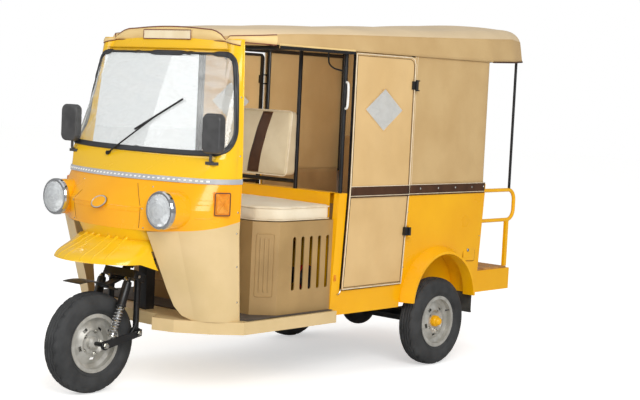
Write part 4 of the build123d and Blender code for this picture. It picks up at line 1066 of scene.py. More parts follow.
def door_cover(side):
    """Vinyl skin with a rhombus window, piped and stitched round its edge, and its belt strip."""
    word = "left" if side > 0 else "right"
    body = "door_" + word
    middle = (DOOR_FRONT_Y + DOOR_REAR_Y) / 2
    shape = door_skin_points(side, middle)
    cover = piece("door_cover_" + word, shape, "door_vinyl", body, "beige_vinyl")
    thicken(cover, 2.5)
    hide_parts("door_skin_" + word)
    low, high, front, rear = DOOR_BOTTOM_Z + 2, DOOR_TOP_Z - 2, DOOR_FRONT_Y + 2, DOOR_REAR_Y - 2
    outline = [(front, z) for z in range(low, high, 60)] + [(front, high)]
    outline += [(rear - 34, high), (rear - 10, high - 10), (rear, high - 34)]
    outline += [(rear, z) for z in range(high - 80, low, -60)] + [(rear, low)]
    ring = [at(side * (door_x(z) + 0.6), y, z) for y, z in outline]
    piping = cord_round(ring, 3.0, 6, closed=True)
    piece("door_piping_" + word, piping, "cream_piping", body, "beige_vinyl")
    inside = [(y + (9 if y < middle else -9), z + (9 if z < BELT_Z else -9)) for y, z in outline]
    ring = [at(side * (door_x(z) + 0.2), y, z) for y, z in inside]
    piece("door_welt_" + word, cord_round(ring, 1.4, 5, closed=True), "brown_vinyl", body, "beige_vinyl")
    reach_y, reach_z = 1.06 * WINDOW_HALF_Y, 1.06 * WINDOW_HALF_Z
    corners = [(middle - reach_y, WINDOW_Z), (middle, WINDOW_Z + reach_z)]
    corners += [(middle + reach_y, WINDOW_Z), (middle, WINDOW_Z - reach_z)]
    ring = [at(side * (DOOR_FACE_X + 0.2), y, z) for y, z in round_corners(corners, 10, 3)]
    hem = cord_round(ring, 1.6, 6, closed=True)
    piece("door_window_hem_" + word, hem, "door_vinyl", body, "beige_vinyl")
    ends = DOOR_FRONT_Y + 5, DOOR_REAR_Y - 5
    if side < 0:
        ends = ends[1], ends[0]
    line = [(side * (DOOR_FACE_X + 0.3), ends[0] + (ends[1] - ends[0]) * i / 13) for i in range(14)]
    belt_strip("door_belt_" + word, line, body)


# ---- seats ----
def evaluated(made):
    """Mesh of an object with its modifiers worked out."""
    graph = bpy.context.evaluated_depsgraph_get()
    graph.update()
    return bpy.data.meshes.new_from_object(made.evaluated_get(graph))


def worked_in(made):
    """Turn an object's modifiers into its mesh."""
    mesh = evaluated(made)
    made.modifiers.clear()
    made.data = mesh


def edge_distance(outline, x, y):
    """How far inside a counter-clockwise outline a point lies."""
    least = 1e9
    for (x0, y0), (x1, y1) in zip(outline, outline[1:] + outline[:1]):
        run = hypot(x1 - x0, y1 - y0)
        least = min(least, ((x1 - x0) * (y - y0) - (y1 - y0) * (x - x0)) / run)
    return least


def stuffed(name, shape, finish_name, node, sewn, grain_mm, cap_mm):
    """Cushion swollen by a cloth simulation from its cut shape, held where it is sewn.

    grain_mm is the size of its mesh, and cap_mm the most that it may swell.
    """
    cushion = piece(name, shape, finish_name, slot="beige_vinyl", sharp=180)
    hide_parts(node)
    remesh = cushion.modifiers.new("grain", "REMESH")
    remesh.mode = "VOXEL"
    remesh.voxel_size = grain_mm / 1000
    worked_in(cushion)
    vertices = cushion.data.vertices
    start = [v.co.copy() for v in vertices]
    held = cushion.vertex_groups.new(name="sewn")
    for v in vertices:
        held.add([v.index], sewn(v.co), "REPLACE")
    cloth = cushion.modifiers.new("stuffing", "CLOTH")
    cloth.settings.quality = 4
    cloth.settings.mass = 0.3
    cloth.settings.vertex_group_mass = "sewn"
    cloth.settings.use_pressure = True
    cloth.settings.uniform_pressure_force = 4.0
    cloth.settings.effector_weights.gravity = 0.0
    last_frame = 20
    cloth.point_cache.frame_start, cloth.point_cache.frame_end = 1, last_frame
    for step in range(1, last_frame + 1):
        bpy.context.scene.frame_set(step)
    swollen = evaluated(cushion)
    for v, before in zip(vertices, start):
        shift = swollen.vertices[v.index].co - before
        v.co = before + shift * min(1.0, cap_mm / 1000 / max(shift.length, 1e-9))
    cushion.modifiers.clear()
    bpy.context.scene.frame_set(1)
    for v in vertices:
        rumple = noise.noise(v.co * 14) + 0.5 * noise.noise(v.co * 31 + Vector((3, 1, 2)))
        v.co += v.normal * 0.0011 * rumple
    rounding = cushion.modifiers.new("rounding", "SUBSURF")
    rounding.levels = rounding.render_levels = 1
    worked_in(cushion)
    cushion.data.shade_smooth()
    return cushion


def tree_of(made):
    """Search tree over the faces of a piece."""
    mesh = made.data
    faces = [tuple(face.vertices) for face in mesh.polygons]
    return BVHTree.FromPolygons([v.co.copy() for v in mesh.vertices], faces)


def driver_cushion():
    """Box cushion with cut front corners, piped round the top panel."""
    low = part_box("driver_cushion")[0]
    (_, front, _), (half, rear, _) = extent("driver_cushion")
    half, front, rear = half - 10, front + 10, rear - 8  # room to swell
    corner, depth = 88, 76
    outline = [(half, front + corner), (half, rear), (-half, rear), (-half, front + corner)]
    outline = round_corners(outline + [(-half + corner, front), (half - corner, front)], 30, 4)
    base = low.z * 1000
    top = base + depth
    shape = plate(outline, top - base - 2, Matrix.Translation(at(0, 0, base + 2)), 12, 3)

    def sewn(p):
        inside = edge_distance(outline, p.x * 1000, (p.y - REAR_AXLE_Y) * 1000)
        if p.z * 1000 < base + 8:
            return 1.0
        return 0.85 if inside < 12 and p.z * 1000 > top - 20 else 0.0

    stuffed(
        "seat_cushion", shape, "cream_leathercloth", "driver_cushion", sewn,
        grain_mm=11, cap_mm=14,
    )
    ring = [at(x * 1.004, y + (2 if y > -1100 else -1), top - 9) for x, y in outline]
    lower = [at(x * 1.004, y + (2 if y > -1100 else -1), base + 7) for x, y in outline]
    pipes = joined(cord_round(ring, 3.4, 6, closed=True), cord_round(lower, 3.0, 6, closed=True))
    piece("seat_cushion_piping", pipes, "cream_piping", slot="beige_vinyl")


def driver_backrest():
    """Wedge backrest with a slanting brown inlay on its face."""
    low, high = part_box("driver_backrest")
    rear = (high.y - REAR_AXLE_Y) * 1000 - 2
    bottom, top = low.z * 1000 + 6, high.z * 1000 - 8
    half = extent("driver_backrest")[1][0] - 9  # room to swell
    outline = round_corners([(-half, bottom), (half, bottom), (half, top), (-half, top)], 26, 4)

    def depth_at(z):
        """Thickness of the wedge at a height, in millimetres."""
        return 51 + 30 * (top - z) / (top - bottom)

    block_depth = 60
    place = Matrix.Translation(at(0, rear, 0)) @ Matrix.Rotation(radians(90), 4, "X")
    points, faces = plate(outline, block_depth, place, 12, 3)
    back_y = rear / 1000 + REAR_AXLE_Y
    for p in points:
        p.y = back_y - (back_y - p.y) * depth_at(p.z * 1000) / block_depth

    def sewn(p):
        inside = edge_distance(outline, p.x * 1000, p.z * 1000)
        if (p.y - REAR_AXLE_Y) * 1000 > rear - 9:
            return 1.0
        return 0.85 if inside < 11 else 0.0

    back = stuffed(
        "seat_backrest", (points, faces), "back_leathercloth", "driver_backrest", sewn,
        grain_mm=8, cap_mm=11,
    )
    tree = tree_of(back)
    rows = []
    for i in range(21):
        z = (bottom + 7 + (top - bottom - 14) * i / 20) / 1000
        left = -0.047 + 0.076 * i / 20
        right = 0.034 + 0.068 * i / 20
        starts = [(left + (right - left) * k / 6, -1.0, z) for k in range(7)]
        rows.append(landed(tree, starts, (0, 1, 0), 1.2)[0])
    stripe = piece("backrest_inlay", grid(rows), "brown_vinyl", slot="beige_vinyl")
    thicken(stripe, 1.5)
    rim = []
    for x, z in outline:
        rim.append(at(x * 1.006, rear - depth_at(z) + 8, z + (1.5 if z > 1200 else -1.5)))
    piece("backrest_piping", cord_round(rim, 3.2, 6, closed=True), "cream_piping", slot="beige_vinyl")


def passenger_seat():
    """Bench cushion and tall back pad, each in one piece with sewn channels across it."""
    for name, node in (("bench_cushion", "passenger_cushion"), ("bench_backrest", "passenger_backrest")):
        low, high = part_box(node)
        middle = (low + high) / 2
        size = (high - low) * 1000
        panels = 5  # between the sewn channels
        thin = 2 if node == "passenger_cushion" else 1
        trim = Vector((14, 14, 14))
        trim[thin] = 20
        shape = rounded_block(size - trim, Matrix.Translation(middle), 14, 3)

        def sewn(p):
            behind = p.z - low.z < 0.022 if thin == 2 else high.y - p.y < 0.022
            if behind:
                return 1.0
            edges = [min(p[k] - low[k], high[k] - p[k]) for k in range(3) if k != thin]
            pitch = (p.x - low.x) / (high.x - low.x) * panels
            channel = abs(pitch - round(pitch)) * (high.x - low.x) / panels
            return 0.85 if min(edges) < 0.018 or channel < 0.007 else 0.0

        stuffed(name, shape, "tan_leathercloth", node, sewn, grain_mm=12, cap_mm=11)


# ---- cab ----
(lamp_inner, lamp_front, lamp_foot), (lamp_outer, _, lamp_top) = extent("headlamp_left")
LAMP_X, LAMP_Z = (lamp_inner + lamp_outer) / 2, (lamp_foot + lamp_top) / 2
LAMP_Y = lamp_front + 2  # just behind the rim
# Rear edge of the cab side: height, place along Y.
CAB_REAR_EDGE = ((376, -1530), (800, -1570), (1150, -1570), (1655, -1542), (1712, -1538))


def cab_rear(z):
    """Rear edge of the cab side at a height."""
    for low, high in zip(CAB_REAR_EDGE, CAB_REAR_EDGE[1:]):
        if z <= high[0]:
            break
    return low[1] + (high[1] - low[1]) * (z - low[0]) / (high[0] - low[0])


def from_front(tree, spots, lift_mm=0.0):
    """Places on the face of the cab ahead of (x, z) spots, with their normals."""
    return landed(tree, [(x / 1000, -2.4, z / 1000) for x, z in spots], (0, 1, 0), lift_mm)


def from_side(tree, spots):
    """Places on the left side under (y, z) spots, with their normals."""
    return landed(tree, [(0.9, y / 1000 + REAR_AXLE_Y, z / 1000) for y, z in spots], (-1, 0, 0))


def screw_heads(places, normals, radius=4.2):
    """Domed screw heads on places of a skin."""
    dome = [(0, 2.0), (radius * 0.5, 1.7), (radius * 0.86, 1.0), (radius, 0), (radius, -1), (0, -1)]
    return joined(*[lathed(dome, pointing(p, n), 12) for p, n in zip(places, normals)])


def nose_trim():
    """Panel joints, pressed grooves, ribs and screws of the nose."""
    tree = skin_of("front_cowl")
    joint_x, run_in = 243, 85
    seams, beads, screws = [], [], []
    for side in (-1, 1):
        ledge = from_front(tree, [(side * joint_x, z) for z in range(1014, NOSE_FOOT_Z, -12)])[0]
        ahead = min(p.y for p in ledge)
        reach = max(p.y for p in ledge) - ahead
        spots = [(side * (joint_x - run_in * (p.y - ahead) / reach), p.z * 1000) for p in ledge]
        spots = spots if side > 0 else [spot for spot in spots if spot[1] < 965]
        seams.append(cord_round(from_front(tree, spots)[0], 1.5, 6))
        groove = [(side * 58, 907), (side * 236, 907), (side * 236, 886), (side * 58, 886)]
        rim = [p for a, b in zip(groove, groove[1:] + groove[:1]) for p in between(a, b, 8)]
        beads.append(cord_round(from_front(tree, rim)[0], 1.8, 6, closed=True))
        for z in (957, 936, 873):
            spots = [(side * x, z) for x in range(482, 540, 8)]
            beads.append(cord_round(from_front(tree, spots)[0], 2.0, 6))
        places, normals = from_front(tree, [(side * (joint_x + 9), z) for z in (1004, 902, 812)])
        screws.append(screw_heads(places, normals))
    piece("nose_joints", joined(*seams), "panel_gap", slot="yellow_paint")
    piece("nose_beads", joined(*beads), "cab_enamel", slot="yellow_paint")
    piece("nose_screws", joined(*screws), "stud_nickel", slot="chrome")


def nose_badge():
    """Blank oval badge on the nose, with a silver rim."""
    middle, out = (found[0] for found in from_front(skin_of("front_cowl"), [(-10, 912)]))
    badge = pointing(middle + 0.001 * out, out)
    half_u, half_v = 46, 32
    rim = on_plane(badge, oval(half_u + 1, half_v + 1), 4)
    piece("badge_rim", cord_round(rim, 3.0, 8, closed=True), "silver_paint", slot="chrome")
    rim = on_plane(badge, oval(half_u + 4.5, half_v + 4.5), 2)
    piece("badge_line", cord_round(rim, 1.6, 6, closed=True), "panel_gap", slot="yellow_paint")
    piece("badge_face", plate(oval(half_u, half_v), 4.5, badge, 1.5), "cab_enamel", slot="yellow_paint")


def oval(half_u, half_v):
    """Outline of an oval in millimetres."""
    angles = [tau * k / 32 for k in range(32)]
    return [(half_u * cos(angle), half_v * sin(angle)) for angle in angles]


def between(a, b, steps):
    """Spots from a up to b, without b itself."""
    return [tuple(Vector(a).lerp(Vector(b), i / steps)) for i in range(steps)]


def cab_edges():
    """Visor lip over the screen, rolled rear edges, and the screws along them."""
    cowl = skin_of("front_cowl")
    visor_z = 1664
    places, normals = from_front(cowl, [(x, visor_z) for x in range(-440, 441, 20)])
    normals = [Vector((n.x, n.y, 0)).normalized() for n in normals]
    lip = [(-0.0016, -0.002), (0.0016, -0.002), (0.0030, 0.014), (0.0008, 0.016)]
    piece("screen_visor", swept(places, lip, normals), "cab_enamel", slot="yellow_paint")
    edge = from_side(cowl, [(cab_rear(z) - 4, z) for z in range(880, 1700, 30)])[0]
    piece("cowl_edge", both_sides(cord_round(edge, 3.4, 7)), "cab_enamel", slot="yellow_paint")
    shield = skin_of("leg_shield_left")
    edge = from_side(shield, [(cab_rear(z) - 5, z) for z in range(396, 850, 30)])[0]
    piece("shield_edge", both_sides(cord_round(edge, 3.4, 7)), "beige_moulding", slot="beige_moulding")
    screws = []
    for tree, heights in ((cowl, (1440, 1165, 900)), (shield, (800, 641, 470))):
        places, normals = from_side(tree, [(cab_rear(z) - 17, z) for z in heights])
        screws.append(both_sides(screw_heads(places, normals, 5)))
    piece("cab_side_screws", joined(*screws), "stud_nickel", slot="chrome")


def beak_ridges():
    """Ridges pressed into the beak, fanning out from its neck to its lip."""
    tree = skin_of("nose_fender")
    lip_z, neck_z = 628, 762
    ridges = []
    for lip_x, neck_x in ((62, 34), (128, 84), (192, 138)):
        shares = [i / 14 for i in range(15)]
        spots = [(lip_x + (neck_x - lip_x) * t, lip_z + (neck_z - lip_z) * t) for t in shares]
        ridges.append(cord_round(from_front(tree, spots, -7.0)[0], 9.5, 14))
    piece("beak_ridges", both_sides(joined(*ridges)), "cab_enamel", slot="yellow_paint")


def screen_rim():
    """Outer edge of the screen glass, in order round its middle."""
    axis = Vector((0, REAR_AXLE_Y - 1.2, 1.4))
    bm = bmesh.new()
    bm.from_mesh(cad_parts["windscreen_glass"].data)
    bmesh.ops.remove_doubles(bm, verts=bm.verts, dist=1e-5)
    rim = {}
    for e in bm.edges:
        middle = (e.verts[0].co + e.verts[1].co) / 2 - axis
        outward = Vector((middle.x, middle.y, 0)).normalized()
        faces_out = any(face.normal.dot(outward) > 0.5 for face in e.link_faces)
        if e.calc_face_angle(0) > radians(45) and faces_out:
            for v in e.verts:
                across, up = 0.6 * atan2(v.co.x, axis.y - v.co.y), v.co.z - axis.z
                rim[v.index] = (atan2(up, across), v.co.copy())
    bm.free()
    return [place for _, place in sorted(rim.values(), key=lambda entry: entry[0])]


def evenly(path, step_mm):
    """Closed path laid again with even spacing."""
    path = path + path[:1]
    reach = [0.0]
    for a, b in zip(path, path[1:]):
        reach.append(reach[-1] + (b - a).length)
    count = max(8, round(reach[-1] * 1000 / step_mm))
    spaced = []
    i = 0
    for k in range(count):
        want = reach[-1] * k / count
        while reach[i + 1] < want:
            i += 1
        t = (want - reach[i]) / max(reach[i + 1] - reach[i], 1e-9)
        spaced.append(path[i].lerp(path[i + 1], t))
    return spaced


def screen_seal():
    """Rubber glazing channel round the screen, with its locking strip."""
    middle = Vector((0, REAR_AXLE_Y - 1.3, 1.4))
    path = evenly(screen_rim(), 9)
    cowl = skin_of("front_cowl", "windscreen_glass")
    normals = []
    for i, p in enumerate(path):
        inward = (middle - p).normalized()
        normal = cowl.find_nearest(p - 0.012 * inward)[1]
        normals.append(-normal if normal.dot(inward) > 0 else normal)
    for _ in range(4):
        after = normals[1:] + normals[:1]
        normals = [(normals[i - 1] + n + after[i]).normalized() for i, n in enumerate(normals)]
    section = [(-14, 1.4), (-13.4, 4.4), (-10, 6.4), (-4, 7), (-1, 5.8)]
    section += [(1, 5.8), (4, 7), (9, 6.2), (12, 4), (12.6, 1)]
    section += [(12.4, -4.5), (-2.5, -4.5), (-2.5, 0.6), (-13, 0.6)]
    section = [(u / 1000, v / 1000) for u, v in section]
    channel = swept(path, section, normals, closed=True)
    seal = piece("screen_rubber", channel, "seal_rubber", slot="black_rubber")
    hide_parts("windscreen_seal")


def strip_lamps():
    """Row of small white segments let into the chrome strip."""
    tree = skin_of("chrome_strip")
    places, normals = from_front(tree, [(x, CHROME_STRIP_Z) for x in range(-516, 517, 4)], 0.2)
    bar = [(-0.0042, -0.0005), (0.0042, -0.0005), (0.0042, 0.0011), (-0.0042, 0.0011)]
    shapes = []
    last = 0
    for i in range(4, len(places) - 4):
        if (places[i] - places[last]).length > 0.026:
            shapes.append(swept(places[i : i + 4], bar, normals[i : i + 4]))
            last = i
    piece("strip_segments", joined(*shapes), "white_plastic", slot="chrome")


def headlamps():
    """Reflector bowls and bulbs behind the headlamp lenses."""
    bowl = [(75, 12), (72, 28), (67, 46), (52, 54), (38, 58), (24, 63), (10, 64)]
    bulb = [(0, 26), (4, 27), (6.5, 32), (7, 40), (5.5, 47), (9, 52), (9, 62)]
    bowls, bulbs = [], []
    for x in (-LAMP_X, LAMP_X):
        place = pointing(at(x, LAMP_Y, LAMP_Z), (0, 1, 0))
        bowls.append(lathed(bowl, place, 40))
        bulbs.append(lathed(bulb, place, 16))
    piece("lamp_bowls", joined(*bowls), "reflector_bowl", slot="chrome")
    piece("lamp_bulbs", joined(*bulbs), "white_plastic", slot="chrome")


def corner_lamps():
    """Beaded frames and raised, crossed ribs on the amber corner lamps."""
    out = Vector((0.927, -0.375, 0)).normalized()
    place = pointing(at(544, -1692, 942) + 0.0128 * out, out)
    ring = on_plane(place, rounded_rectangle(38, 52, 7, 4))
    rims = both_sides(cord_round(ring, 2.8, 6, closed=True))
    piece("amber_lamp_frames", rims, "brown_piping", slot="amber_lens")
    ribs = [plate(rounded_rectangle(30, 43, 5, 3), 4.5, place, 1.2)]
    ridge = [(-0.004, -0.001), (0.004, -0.001), (0.0015, 0.0022), (-0.0015, 0.0022)]
    for sign in (-1, 1):
        path = [place @ Vector((sign * u * 0.028, u * 0.040, 0.0045)) for u in (-1, 1)]
        ribs.append(swept(path, ridge, [out, out]))
    piece("amber_lamp_ribs", both_sides(joined(*ribs)), "amber_lens", slot="amber_lens")


def mirror_faces():
    """Mirror glass in the back of each mirror shell, towards the driver."""
    low, high = extent("mirror_left")
    middle_x = (low[0] + high[0]) / 2
    mirrors = []
    for x in (-middle_x, middle_x):
        place = pointing(at(x, -1715.2, 1268), (0, 1, 0))
        mirrors.append(plate(rounded_rectangle(52, 86, 30, 6), 1.6, place, 0.4))
    piece("mirror_faces", joined(*mirrors), "reflector_bowl", slot="chrome")


def roll_tails():
    """Tapered ends of the front roll, drawn down over the corners of the screen header."""
    tree = skin_of("front_cowl")
    rows = []
    for i in range(13):
        t = i / 12
        x = 372 + 122 * t
        top, foot = 1711 - 5 * t, 1703 - 22 * t
        heights = [top + (foot - top) * k / 5 for k in range(6)]
        places, normals = from_front(tree, [(x, z) for z in heights])
        puffs = [2 + 6 * sin(pi * k / 5) * (1 - 0.5 * t) for k in range(6)]
        rows.append([p + puff / 1000 * n for p, n, puff in zip(places, normals, puffs)])
    tail = piece("front_roll_tails", both_sides(grid(rows)), "band_vinyl", slot="beige_vinyl")
    thicken(tail, 2.0)
    edge = [row[-1] for row in rows]
    piece("roll_tail_piping", both_sides(cord_round(edge, 2.6, 6)), "russet_piping", slot="beige_vinyl")


def pressed_panel(low, high, place):
    """Fluted panel moulded into a face: a rim and three rounded flutes, flat outline on a place."""
    (u0, v0), (u1, v1) = low, high
    rim = round_corners([(u0, v0), (u1, v0), (u1, v1), (u0, v1)], 12, 4)
    shapes = [cord_round(on_plane(place, rim), 3.2, 7, closed=True)]
    for k in range(3):
        u = u0 + (u1 - u0) * (k + 1) / 4
        flute = [(u - 5, v0 + 22), (u + 5, v0 + 22), (u + 5, v1 - 22), (u - 5, v1 - 22)]
        shapes.append(plate(round_corners(flute, 5, 4), 4, place, 2.5))
    return joined(*shapes)


def seat_box_panels():
    """Fluted panels on the front and the cut corners of the seat box."""
    low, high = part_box("seat_box")
    foot, top, chamfer = 470, 780, 95
    shapes = []
    front = pointing(Vector((0, low.y, 0)), (0, -1, 0))
    for u in (-300, 70):
        shapes.append(pressed_panel((u, foot), (u + 230, top), front))
    middle = Vector((high.x - chamfer / 2000, low.y + chamfer / 2000, 0))
    corner = pointing(middle, (1, -1, 0))
    shapes.append(both_sides(pressed_panel((-44, foot), (44, top), corner)))
    piece("seat_box_panels", joined(*shapes), "seat_box_plastic", slot="beige_moulding")


def handlebar_dress():
    """Grips, levers and switch housings."""
    inner, outer = at(110, -1540, 1129), at(300, -1490, 1151)
    along = (outer - inner).normalized()
    rings, sides = 15, 12
    path = [inner.lerp(outer, 0.48 + 0.54 * i / (rings - 1)) for i in range(rings)]
    rows = [circle(0.0168 if i % 2 else 0.0155, sides) for i in range(rings)]
    normal = along.orthogonal().normalized()
    across = along.cross(normal)
    grip = grid([[p + u * across + v * normal for u, v in row] for p, row in zip(path, rows)], wrap=True)
    caps = [tuple(reversed(range(sides))), tuple(range((rings - 1) * sides, rings * sides))]
    grips = both_sides((grip[0], grip[1] + caps))
    bends = (178, -1530, 1136), (186, -1556, 1134), (240, -1562, 1140), (318, -1536, 1150)
    lever = [at(*p) for p in bends]
    blade = swept(smooth_path(lever, 6), circle(0.006, 8, 0.55))
    ball = lathed([(0, 9), (6, 6.5), (8.5, 0), (6, -6.5), (0, -9)], Matrix.Translation(lever[-1]), 12)
    housing = rounded_block((44, 40, 42), Matrix.Translation(at(168, -1528, 1137)), 6)
    piece("bar_grips", grips, "seal_rubber", "steering", "black_paint")
    piece("bar_levers", both_sides(joined(blade, ball)), "stud_nickel", "steering", "black_paint")
    piece("bar_switches", both_sides(housing), "mirror_plastic", "steering", "black_paint")


def cab_mat():
    """Rubber mat round the seat box, curling up at its edges."""
    corners = [(-556, -880), (-526, -880), (-526, -1262), (-430, -1360), (430, -1360), (526, -1262)]
    corners += [(526, -880), (556, -880), (558, -1495), (430, -1556), (-430, -1556), (-558, -1495)]
    outline = [p for a, b in zip(corners, corners[1:] + corners[:1]) for p in between(a, b, 12)]
    floor_z = 376.2
    points, faces = plate(outline, 4, Matrix.Translation(at(0, 0, floor_z)), 0.8)
    for p in points:
        x, y = abs(p.x) * 1000, (p.y - REAR_AXLE_Y) * 1000
        edge = max(0, (x - 526) / 32) if y > -1480 else max(0, (-1490 - y) / 60)
        p.z += 0.006 * min(edge, 1) * max(0, 0.35 + noise.noise(Vector((p.x * 9, p.y * 9, 0))))
    piece("cab_mat", (points, faces), "floor_mat", slot="black_rubber")


def grab_handle():
    """White handle on the front post of the left door opening."""
    handle = [(541, -838, 1404), (555, -841, 1414), (558, -841, 1470)]
    handle += [(555, -841, 1528), (541, -838, 1538)]
    grab = cord_round(smooth_path([at(*p) for p in handle], 5), 6.5, 9)
    piece("grab_handle", grab, "white_plastic", slot="black_paint")


def cab_conduit():
    """Conduit clipped to the post under the roof, with a drip loop."""
    loop = [(398, -822, 1690), (403, -822, 1634), (436, -822, 1608), (470, -822, 1600), (528, -828, 1592)]
    conduit = cord_round(smooth_path([at(*p) for p in loop], 6), 4.5, 8)
    clips = [rounded_block((14, 12, 12), Matrix.Translation(at(*p)), 2) for p in (loop[0], loop[-1])]
    piece("cab_conduit", joined(conduit, *clips), "seal_rubber", slot="black_paint")


def cooling_duct():
    """Fan duct with a red band, behind the slots of the seat box."""
    duct = [(0, 225), (50, 225), (58, 218), (60, 206), (60, 168), (42, 158), (42, 0), (0, 0)]
    place = pointing(at(282, -1010, 548), (1, 0, 0))
    piece("cooling_duct", lathed(duct, place, 28), "engine_casting", slot="black_paint")
    ring = [(61, 205), (64, 203), (64, 178), (61, 176)]
    piece("duct_band", lathed(ring, place, 28), "red_lens", slot="black_paint")


# ---- wheels ----
TREAD_STEPS, BEAD_STEPS = 168, 84  # facets round the tread, and round the bead inside
# Tyre section: (across from the middle, radius) from the crown round to the bead, in millimetres.
TYRE_SECTION = (
    (0, 242.6), (3, 242.5), (4.5, 242.5), (9, 242.4), (11, 242.3), (16, 242.1), (18, 242.0), (22, 241.7),
    (24, 241.5), (27, 240.8), (31, 239.8), (35, 238.2), (39, 236), (43, 232.4), (46, 228), (49, 222.5),
    (52.5, 214), (54.4, 211), (54.8, 208), (56.6, 202), (57.8, 194), (57.9, 186), (56.8, 176), (54.2, 166),
    (52.4, 160), (50.4, 158), (48.5, 152), (45.5, 145.5), (42.2, 143),
)
TREAD_DEPTH = 5.5


def groove_at(across, angle):
    """Depth of the tread pattern: three zigzag ribs and cut shoulders."""
    beat = angle * TREAD_STEPS / tau / 7
    zigzag = 2.6 * (abs((beat % 1) - 0.5) * 4 - 1)
    side = abs(across)
    if 7 < abs(across + zigzag * 0.6) < 11.5 or 22 < side + zigzag < 27:
        return TREAD_DEPTH
    sipe = (beat + 0.02 * side) % 1 < 0.22
    if 27 <= side < 44 and sipe:
        return TREAD_DEPTH * (1 - max(0, side - 38) / 6)
    return 0.0


def tyre_skin(place):
    """Tyre turned round its axle, with the tread cut in."""
    section = [(-u, r) for u, r in reversed(TYRE_SECTION[1:])] + list(TYRE_SECTION)
    rows = []
    for k in range(TREAD_STEPS):
        angle = tau * k / TREAD_STEPS
        row = []
        for u, r in section:
            depth = groove_at(u, angle)
            rim = (r - depth) / 1000
            row.append(Vector((u / 1000, rim * cos(angle), rim * sin(angle))))
        rows.append(row)
    points, faces = grid(rows, ring=True)
    inner = [(42.2, 143), (41.9, 128.2), (-41.9, 128.2), (-42.2, 143)]
    back = []
    for k in range(BEAD_STEPS):
        angle = tau * k / BEAD_STEPS
        back.append([Vector((u / 1000, r / 1000 * cos(angle), r / 1000 * sin(angle))) for u, r in inner])
    inside = grid(back, ring=True)
    rib = [(156, 53.2), (157.5, 54.2), (159, 53.2)]
    ribs = [lathed(rib, pointing(Vector(), (sign, 0, 0)), BEAD_STEPS) for sign in (-1, 1)]
    return moved(joined((points, faces), inside, *ribs), place)


def wheel_dress(name, outboard, cap_finish):
    """Tyre, wheel nuts, valve and hub cap of one wheel, which is a body of its own."""
    low, high = extent(name + "_tyre")
    centre = at(*((a + b) / 2 for a, b in zip(low, high)))
    tyre = piece(name + "_tread", tyre_skin(Matrix.Translation(centre)), "tyre_rubber", name, sharp=32)
    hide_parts(name + "_tyre")
    axle = Vector((outboard, 0, 0))
    face = pointing(centre, axle)
    flange = [(0, 9), (3, 9), (4, 7), (8.6, 7), (8.6, 0), (10.5, 0), (10.5, -1), (0, -1)]
    nut_circle, nut_lift, nut_count = 0.058, 0.0225, 5  # in metres from the hub's middle
    nuts = []
    for k in range(nut_count):
        angle = tau * k / nut_count
        ring_spot = (nut_circle * cos(angle), nut_circle * sin(angle), nut_lift)
        spot = face @ Matrix.Translation(ring_spot)
        nuts.append(lathed(flange, spot, 6))
        nuts.append(lathed([(0, 14), (3.6, 13), (4, 8), (0, 8)], spot, 10))
    piece(name + "_nuts", joined(*nuts), "stud_nickel", name)
    if cap_finish:
        cap = [(0, 66), (9, 65.5), (17, 62), (22, 55), (24, 47)]
        cap += [(26, 46), (30.5, 40), (31.5, 30), (30.6, 15)]
        piece(name + "_cap", lathed(cap, face, 32), cap_finish, name)
    stem = face @ Matrix.Rotation(0.5, 4, "Z") @ Matrix.Translation((0.106, 0, 0.026))
    stem = stem @ Matrix.Rotation(0.5, 4, "Y")
    valve = lathed([(0, 24), (3, 23.5), (3.4, 14), (2.4, 13), (4.2, 6), (5, 0), (0, 0)], stem, 10)
    piece(name + "_valve", valve, "seal_rubber", name)


# ---- steered front end ----
SPRING_LOW, SPRING_HIGH = (88, -1938, 273), (95, -1848, 556)


def spring_leg(side):
    """Chromed coil spring over its rod, below a black upper body."""
    low = at(side * SPRING_LOW[0], *SPRING_LOW[1:])
    high = at(side * SPRING_HIGH[0], *SPRING_HIGH[1:])
    place = pointing(low, high - low, (1, 0, 0))
    length = (high - low).length * 1000
    coil = []
    coil_radius = 0.0175
    turns, start, end, steps = 9, 14, 152, 20
    for i in range(turns * steps + 1):
        t = i / (turns * steps)
        squeeze = t + 0.018 * sin(tau * t)
        angle = tau * turns * t
        height = (start + (end - start) * squeeze) / 1000
        coil.append(place @ Vector((coil_radius * cos(angle), coil_radius * sin(angle), height)))
    spring = cord_round(coil, 4.4, 7)
    rod = lathed([(0, 4), (11.5, 4), (11.5, 156), (0, 156)], place, 16)
    cups = lathed([(12, 0), (24, 0), (25, 3), (25, 8), (23, 11), (12, 11)], place, 24)
    shell = [(12, 151), (24, 152), (25, 156), (24.5, 162), (22, 165), (22, length - 34)]
    shell += [(20, length - 22), (12, length - 16), (10, length - 2), (0, length - 2)]
    return spring, joined(rod, cups), lathed(shell, place, 24)


def hex_bolt(place, out, across=8.5, height=7):
    """Hexagon bolt head on its washer face."""
    profile = [(0, height), (across * 0.7, height), (across, height - 1.5), (across, 0), (across * 1.3, 0)]
    profile += [(across * 1.3, -1.5), (0, -1.5)]
    return lathed(profile, pointing(place, out), 6)


def spring_units():
    """Both spring units of the fork."""
    springs, rods, bodies = zip(*[spring_leg(side) for side in (-1, 1)])
    coil = piece("spring_coils", joined(*springs), "chrome", "steering", "black_paint")
    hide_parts("shocks")
    piece("spring_rods", joined(*rods), "stud_nickel", "steering", "black_paint")
    piece("spring_bodies", joined(*bodies), "black_paint", "steering", "black_paint")


